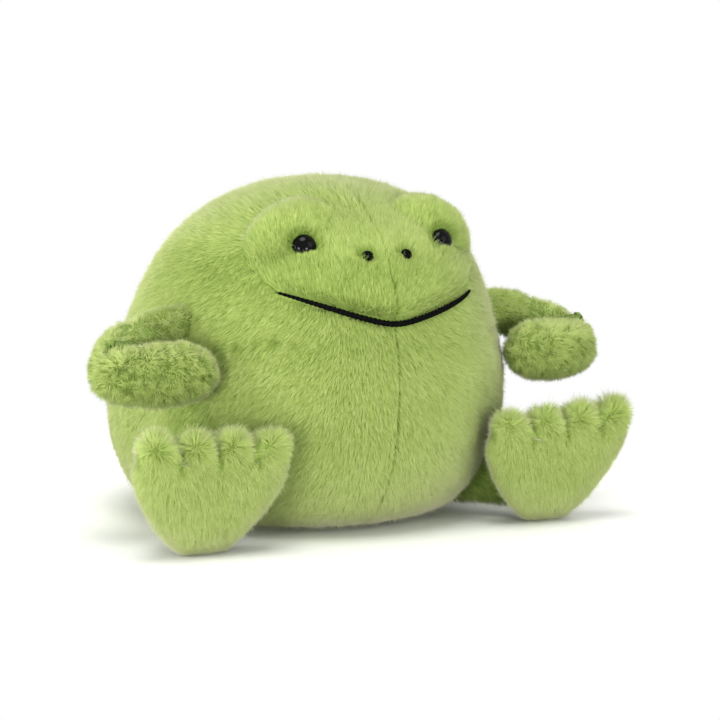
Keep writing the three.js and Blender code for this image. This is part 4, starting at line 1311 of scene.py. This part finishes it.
steps = np.linspace(-MOUTH_HALF, MOUTH_HALF, 360)
mouth_line = mouth_height(steps) - MOUTH_SLIP * ease(steps, 0, MOUTH_HALF)
line, outward = front_place(steps, mouth_line)
beside = np.cross(outward, unit(np.gradient(line, axis=0)))
measure = np.concatenate([[0], np.cumsum(np.linalg.norm(np.diff(line, axis=0), axis=1))])
thick = YARN_THICK * (1 - 0.55 * np.abs(steps / MOUTH_HALF) ** 4)
sink = 0.9 * np.abs(steps / MOUTH_HALF)[:, None] ** 8
plies = []
for ply in range(2):
    turn = (measure / YARN_TWIST * 2 * np.pi + ply * np.pi)[:, None]
    offset = thick[:, None] * 0.45 * (outward * np.cos(turn) + beside * np.sin(turn))
    plies.append((line + outward * (0.2 - sink) + offset, thick * 0.62, 10))
mouth = tube_mesh("mouth_thread", plies)
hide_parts("mouth_yarn")
print("yarn length in mm:", round(float(measure[-1]), 1))

for name in SIDES:
    place, outward = NOSTRILS[name]
    level = unit(np.cross((0, 0, 1), outward))
    upright = np.cross(outward, level)
    arc = np.linspace(0.1, np.pi - 0.1, STITCH_STEPS)
    stitches = []
    for k in range(STITCHES):
        off_middle = (k - (STITCHES - 1) / 2) / 2.9
        round_off = math.sqrt(1 - off_middle ** 2)
        along = np.cos(arc) * (1.75 * round_off)
        bulge = np.sin(arc) * 1.25 * round_off - 0.75
        line = (place + level * off_middle * 1.8 + upright * along[:, None]
                + outward * bulge[:, None])
        stitches.append((line, np.full(STITCH_STEPS, STITCH_RADIUS), 8))
    knot = tube_mesh(f"{name}_nostril_stitches", stitches)
    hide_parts(f"{name}_nostril_knot")

# %% [markdown]
# Filling
#
# Inside are loose polyester fibre and, in the seat, a cloth bag of pellets that makes the
# frog sit. Nobody sees them while the covers are closed, but the parts are there. Each is a
# copy of its solid, drawn in under the cloth, with soft dents from the fibre's clumps. The
# leg's fill crosses the hip, so, like its cover, it rides on no body and has its place written
# into its mesh.


# %% Stuffing and pellet bag
LONGEST_FILL_EDGE = 0.004


def filling(node, body, finish, ripple, slack=0.3):
    """Fill drawn in by the slack in mm, and by up to the ripple more where it is dented"""
    piece = working_copy(node, node + "_fill")
    with editing(piece.data) as form:
        long = [edge for edge in form.edges if edge.calc_length() > LONGEST_FILL_EDGE]
        bmesh.ops.subdivide_edges(form, edges=long, cuts=1, use_grid_fill=True)
        bmesh.ops.triangulate(form, faces=form.faces)
        form.normal_update()
        places = np.array([v.co for v in form.verts]) / MM
        dent = ((drift(places, 6, 3) * 0.5 + 0.5) * ripple + slack) * MM
        for vertex, amount in zip(form.verts, dent):
            vertex.co -= vertex.normal * amount
    piece.data.shade_smooth()
    piece.data.materials.append(finish)
    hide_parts(node)
    if body:
        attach(piece, body)
    print(piece.name, len(piece.data.polygons), "faces")
    return piece


filling("body_stuffing", "torso", fibre_fill, 0.8, slack=1.2)
filling("pellet_bag", "torso", bag_cloth, 0.5)
for name, side in SIDES.items():
    filling(f"{name}_arm_stuffing", f"{name}_arm", fibre_fill, 0.4)
    core = filling(f"{name}_leg_stuffing", None, fibre_fill, 0.4, slack=1.8)
    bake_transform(core)
    filling(f"{name}_foot_stuffing", f"{name}_leg", fibre_fill, 0.4, slack=0.9)

# %% Finish
clear_selection()
triangles = 0
for shown in bpy.data.objects:
    if shown.type == "MESH" and not shown.hide_render:
        triangles += sum(len(polygon.vertices) - 2 for polygon in shown.data.polygons)
print("triangles shown:", triangles)
